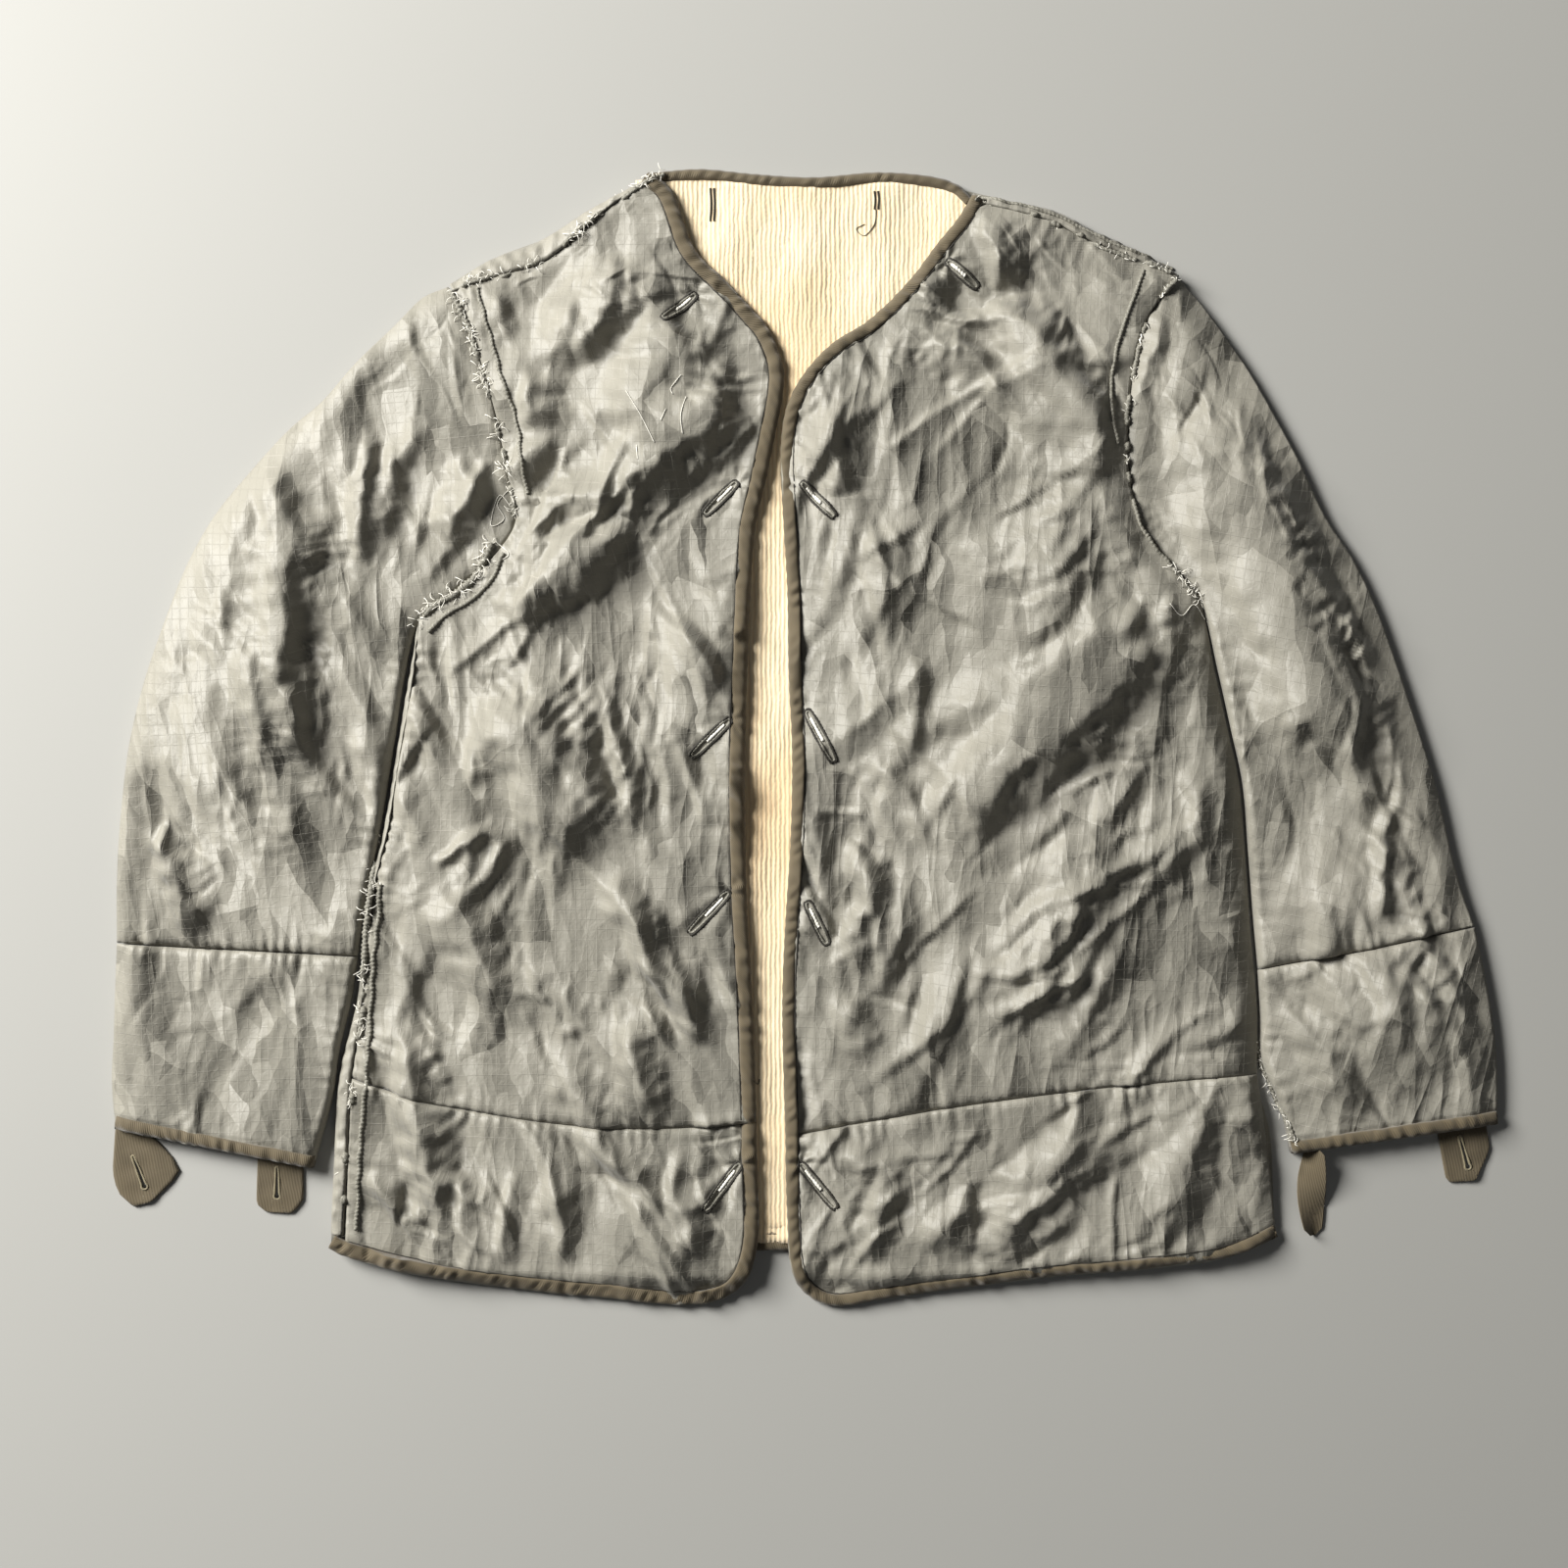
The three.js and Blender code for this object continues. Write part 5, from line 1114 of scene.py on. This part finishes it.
for name, (corners, eye, foot) in TABS.items():
    shape, hole = tab_shape(corners, eye, foot)
    tab = sewn_piece(f"{name}_tape", shape, twill, [name], grain=0.7)
    size = np.ptp(shape[0][:, :2], axis=0) / 1000
    loop = spaced(np.vstack([hole, hole[:1]]), 0.3)
    ring = np.column_stack([loop, np.full(len(loop), TAB_TOP)])
    sewn_piece(f"{name}_stitching", bead(ring, 0.65, 0.9), cotton, [])

# The twisted tab, from its middle line, the tilt across it and half its width.
TWISTED = [(312, -251), (311.5, -260), (311, -272), (311, -284), (312, -305)]
spine = spaced(spline(TWISTED), 0.8)
share = np.linspace(0, 1, len(spine))
lean = 1.1 - 2.0 * share
half = 8.5 * np.clip(share / 0.12 + 0.5, 0, 1) * np.clip((1 - share) / 0.12 + 0.35, 0, 1)
across = np.array([-1, -0.93, -0.5, 0, 0.5, 0.93, 1])
sections = []
for (x, y), part, tilt, wide in zip(spine, share, lean, half):
    height = 9.5 * (1 - part) + 2.0 * part
    upper = [(x + a * wide * math.cos(tilt), y, max(height * 0.55 + a * wide * math.sin(tilt), 0.4) + 0.9)
             for a in across]
    lower = [(px, py, max(pz - 1.8, 0.1)) for px, py, pz in upper[::-1]]
    sections.append(upper + lower)
tab = sewn_piece("right_inner_tab_tape", swept(np.array(sections)), twill, ["right_inner_tab"],
                 grain=0.7)


# The seams: overlocked edges that stand up as puffy rows of thread round both armholes, along the
# shoulders and down the left side. The thread is spun polyester, matt and a little fuzzy, and much
# of it is worn white and frayed. A few thin white threads on the upper left front are painted
# highlights on crease crests.
thread, tree = new_finish("white_thread_and_crease_glints")
shader = add_node(tree, "ShaderNodeBsdfPrincipled", {
    "Base Color": linear("#e6e2d6"), "Roughness": 0.75, "Sheen Weight": 0.4})
add_node(tree, "ShaderNodeOutputMaterial", {"Surface": shader.outputs["BSDF"]})
overlock, tree = new_finish("overlock_thread")
wear_and_glints = add_node(tree, "ShaderNodeTexNoise", {"Scale": 420.0, "Detail": 2.0})
bright = add_node(tree, "ShaderNodeMapRange", {
    "Value": wear_and_glints.outputs["Fac"], "From Min": 0.5, "From Max": 0.62})
mixed = add_node(tree, "ShaderNodeMix", {
    0: bright.outputs["Result"], 6: linear("#5c594f"), 7: linear("#a5a295")}, data_type="RGBA")
shader = add_node(tree, "ShaderNodeBsdfPrincipled", {"Base Color": mixed.outputs[2], "Roughness": 0.7})
add_node(tree, "ShaderNodeOutputMaterial", {"Surface": shader.outputs["BSDF"]})


def laid_on(run, lift, even=5):
    """The run laid on whatever cloth is uppermost below it, that far above it."""
    cloth = bpy.context.evaluated_depsgraph_get()
    levels = []
    for x, y in run[:, :2]:
        found, spot, *_ = scene.ray_cast(cloth, (x / 1000, y / 1000, 0.2), (0, 0, -1))
        levels.append(max(spot.z * 1000, 0) if found else 0.0)
    levels = np.convolve(np.pad(levels, even // 2, mode="edge"), np.ones(even) / even, mode="valid")
    return np.column_stack([run[:, :2], levels + lift])


def flattened(shape, floor=0.1):
    """Keeps a shape's points above the floor."""
    points, faces = shape
    points[:, 2] = np.maximum(points[:, 2], floor)
    return points, faces


def hairs(run, count, length, stray, seed, thick=0.2):
    """Short frayed threads that start along a run, in millimetres."""
    chance = np.random.default_rng(seed)
    parts = []
    for _ in range(count):
        i = chance.integers(len(run))
        size = length * chance.uniform(0.35, 1.0)
        start = run[i] + [*chance.uniform(-stray, stray, 2), 0.3]
        turn = chance.uniform(0, FULL_TURN)
        t = np.linspace(0, 1, 6)[:, None]
        bend = chance.uniform(-2.2, 2.2)
        heading = turn + bend * t[:, 0]
        steps = np.column_stack([np.cos(heading), np.sin(heading), 0.9 - 2.0 * t[:, 0]]) * size / 6
        parts.append(bead(start + np.cumsum(steps, axis=0), thick, 1.3, seed=int(i)))
    return flattened(joined(parts))


def seam_row(points, thick, seed, wander=0.5):
    """A row of overlock thread along the points."""
    run = spaced(spline(np.array(points, float), 8), 0.7)
    along = np.arange(len(run)) * 0.7
    _, left = directions(run)
    run = run + left * (wander * swell(along, 0 * along, 17, seed))[:, None]
    return bead(laid_on(run, thick * 0.25, 9), thick, 2.6, seed=seed)


def stitches(points, size, gap, thick, seed, across=0.0):
    """Single stitches in a row; across: how far each one leans over, in millimetres."""
    run = laid_on(spaced(spline(np.array(points, float), 8), size + gap), thick * 1.2, 3)
    way, left = directions(run)
    chance = np.random.default_rng(seed)
    parts = []
    for place, ahead, square in zip(run, way, left):
        reach = np.array([*(ahead * size / 2 + square * across * chance.uniform(0.7, 1.3)), 0])
        t = np.array([-1, -0.5, 0, 0.5, 1.0])[:, None]
        path = place + t * reach + np.array([0, 0, 1]) * thick * (0.7 - 1.4 * t ** 2)
        parts.append(bead(path, thick, 9.0, seed=seed))
    return flattened(joined(parts))


LEFT_ARM_ROW = [(-213, 270), (-202, 246), (-195, 223), (-188, 200), (-184, 182), (-180, 166), (-177, 150),
                (-174, 131)]
LEFT_ARM_INNER = [(-197, 272), (-188, 237), (-178, 205), (-172, 182), (-167, 147)]
LEFT_ARMPIT_ROW = [(-188, 117), (-201, 94), (-225, 78), (-234, 69)]
RIGHT_ARM_ROW = [(227, 277), (219, 268), (210, 253), (204, 235), (201, 216), (198, 200), (198, 182),
                 (197, 166)]
RIGHT_ARM_INNER = [(207, 283), (196, 253), (189, 228), (187, 200), (191, 177)]
RIGHT_ARMPIT_ROW = [(198, 160), (205, 128), (222, 105), (243, 82)]
LEFT_SHOULDER_ROW = [(-84, 342), (-100, 333), (-119, 320), (-135, 308), (-148, 294), (-156, 289), (-167, 285),
                     (-181, 280), (-192, 278), (-206, 274)]
RIGHT_SHOULDER_ROW = [(105, 326), (120, 321), (139, 317), (157, 310), (173, 302), (189, 294), (207, 288),
                      (224, 282)]
LEFT_SIDE_ROW = [(-258, -60), (-265, -118), (-266, -144), (-268, -176), (-273, -199), (-274, -222),
                 (-277, -256), (-278, -286), (-279, -304)]
LEFT_SIDE_INNER = [(-256, -90), (-261, -147), (-264, -204), (-268, -248), (-271, -300)]
RIGHT_CUFF_ROW = [(278, -186), (281, -201), (286, -212), (292, -228), (299, -246)]
# Each row with the radius of its thread, in millimetres.
rows = [(LEFT_ARM_ROW, 2.0), (LEFT_ARM_INNER, 1.2), (LEFT_ARMPIT_ROW, 2.2), (RIGHT_ARM_ROW, 1.6),
        (RIGHT_ARM_INNER, 1.1), (RIGHT_ARMPIT_ROW, 1.2), (LEFT_SHOULDER_ROW, 1.3), (RIGHT_SHOULDER_ROW, 1.4),
        (LEFT_SIDE_ROW, 2.0), (LEFT_SIDE_INNER, 1.5), (RIGHT_CUFF_ROW, 1.4)]
rows += [([(x + 7, y - 6) for x, y in LEFT_ARMPIT_ROW], 1.4),
         ([(x + 3, y + 4) for x, y in RIGHT_SHOULDER_ROW], 1.1)]
shape = joined([flattened(seam_row(points, thick, 600 + i)) for i, (points, thick) in enumerate(rows)])
white = [stitches(RIGHT_ARM_ROW, 2.2, 0.9, 0.5, 620, 0.5), stitches(LEFT_SIDE_ROW, 2.0, 2.2, 0.45, 621, 0.8),
         stitches(RIGHT_CUFF_ROW, 1.8, 2.4, 0.4, 622, 0.8),
         stitches(LEFT_SIDE_INNER, 1.6, 4.0, 0.35, 623, 0.5)]
# Each frayed row with the number of its frays, their length and how far they stray from the seam.
FRAYED = [(LEFT_ARM_ROW, 170, 9, 1.6), (LEFT_ARMPIT_ROW, 90, 9, 2.5), (LEFT_SHOULDER_ROW, 150, 7, 1.2),
          (LEFT_SIDE_ROW, 150, 8, 1.5), (RIGHT_ARM_ROW, 60, 5, 1.0), (RIGHT_ARMPIT_ROW[-2:], 40, 8, 1.2),
          (RIGHT_SHOULDER_ROW, 50, 5, 1.0), (RIGHT_CUFF_ROW, 50, 6, 1.2)]
for i, (points, count, length, stray) in enumerate(FRAYED):
    run = laid_on(spaced(spline(np.array(points, float), 8), 1.0), 0.6)
    white.append(hairs(run, count, length, stray, 630 + i))
# Loose white threads: the first two rows and the last are frayed thread by the seams; the five between, on
# the upper left front, are painted highlights on crease crests, drawn as thin white threads.
LOOSE_THREADS_AND_GLINTS = [[(-178, 150), (-185, 141), (-181, 132), (-189, 128), (-184, 146), (-176, 138)],
         [(-186, 118), (-178, 110), (-188, 106), (-194, 113), (-186, 118)],
         [(-106, 207), (-97, 192), (-89, 176)], [(-73, 217), (-79, 209), (-78, 205)],
         [(-82, 196), (-85, 189)], [(-70, 204), (-73, 192), (-72, 181)], [(-100, 175), (-99, 166)],
         [(222, 80), (230, 73), (238, 80), (246, 71)]]
for i, points in enumerate(LOOSE_THREADS_AND_GLINTS):
    white.append(flattened(bead(laid_on(spaced(spline(points, 8), 0.8), 0.4), 0.2, 1.4, seed=i)))
sewn_piece("seam_rows", shape, overlock, [])
sewn_piece("white_stitches_frays_and_crease_glints", joined(white), thread, [])


# The buttonholes: five on each front beside the tape and two in the neck, cut slits whose edges are
# wrapped in thread. The pale pile shows through the ones in the nylon. The ring of nearly black
# thread round each front buttonhole is painted shadow. The thread of the neck's slits is dark spun
# polyester, which has no shine.
rims, tufts_of_pile, shadow_rims_and_threads = [], [], []
for way, front in fronts.items():
    for head, foot in front["buttonholes"]:
        head, foot = np.array(head, float), np.array(foot, float)
        length = np.hypot(*(foot - head))
        down = (foot - head) / length
        square = np.array([-down[1], down[0]])
        middle = (head + foot) / 2
        turn = np.linspace(0, 2 * math.pi, 41)
        ring = np.array([middle + np.cos(a) * length / 2 * down
                         + np.sign(math.sin(a)) * abs(math.sin(a)) ** 0.5 * 2.0 * square for a in turn])
        rims.append(bead(laid_on(spaced(ring, 0.5), 0.15, 3), 0.8, 0.9, seed=5))
        # Painted shadow: a ring of nearly black thread just outside the lips of each front buttonhole.
        beside = np.sign((ring - middle) @ square)[:, None]
        outside = middle + (ring - middle) * 1.06 + beside * square * 0.9
        shadow_rims_and_threads.append(bead(laid_on(spaced(outside, 0.8), 0.1, 3), 0.78, 1.3, seed=6))
        slit = head + down * np.linspace(0.14, 0.6, 22)[:, None] * length
        tufts_of_pile.append(bead(laid_on(slit, 0.25, 3), 1.0, 2.1, seed=7))
NECK_SLITS = [[(-55, 334), (-54.5, 324), (-55, 314)], [(45, 332), (45.5, 327), (45, 321)]]
for points in NECK_SLITS:
    run = spaced(spline(points, 8), 0.6)
    for gap in (-1.1, 1.1):
        shadow_rims_and_threads.append(bead(laid_on(run + [gap, 0], 0.3, 3), 0.55, 1.1, seed=8))
# Two loose ends of thread: one hangs from the neck's right slit, one lies by the left tape.
THREAD_ENDS = [([(45, 321), (44, 312), (38, 305), (33, 309), (38, 312)], 0.8, 0.22),
               ([(-30, -209), (-27, -212), (-26, -209)], 0.6, 0.3)]
for points, pitch, thick in THREAD_ENDS:
    shadow_rims_and_threads.append(bead(laid_on(spaced(spline(points, 8), pitch), 0.3), thick, 2.0))
sewn_piece("buttonhole_lips", flattened(joined(rims)), overlock, [])
sewn_piece("buttonhole_pile", flattened(joined(tufts_of_pile)), thread, [])
# Nearly black thread, also used for the painted shadow round the buttonholes and along the tapes.
dark, tree = new_finish("dark_thread_and_painted_shadow")
shader = add_node(tree, "ShaderNodeBsdfPrincipled", {"Base Color": linear("#2a2720"), "Roughness": 0.8})
add_node(tree, "ShaderNodeOutputMaterial", {"Surface": shader.outputs["BSDF"]})
sewn_piece("buttonhole_shadow_rims_and_threads", flattened(joined(shadow_rims_and_threads)), dark, [])


# The front tapes' own stitching: one row of the same dark thread along the inner edge of each tape,
# pulled tight so that it sinks into the cloth. Drawn unbroken and nearly black, it is also a painted
# shadow line along the tape's edge.
lines = []
for way, front in fronts.items():
    run = edge_run(way)
    _, left = directions(run)
    inside = run + left * (-1 if way == "left" else 1) * (front["tape"] + 0.2)
    lines.append(bead(laid_on(spaced(inside[8:-8], 1.6), -0.15, 3), 0.5, 2.5, seed=9))
sewn_piece("tape_stitching_and_shadow_line", flattened(joined(lines)), dark, [])
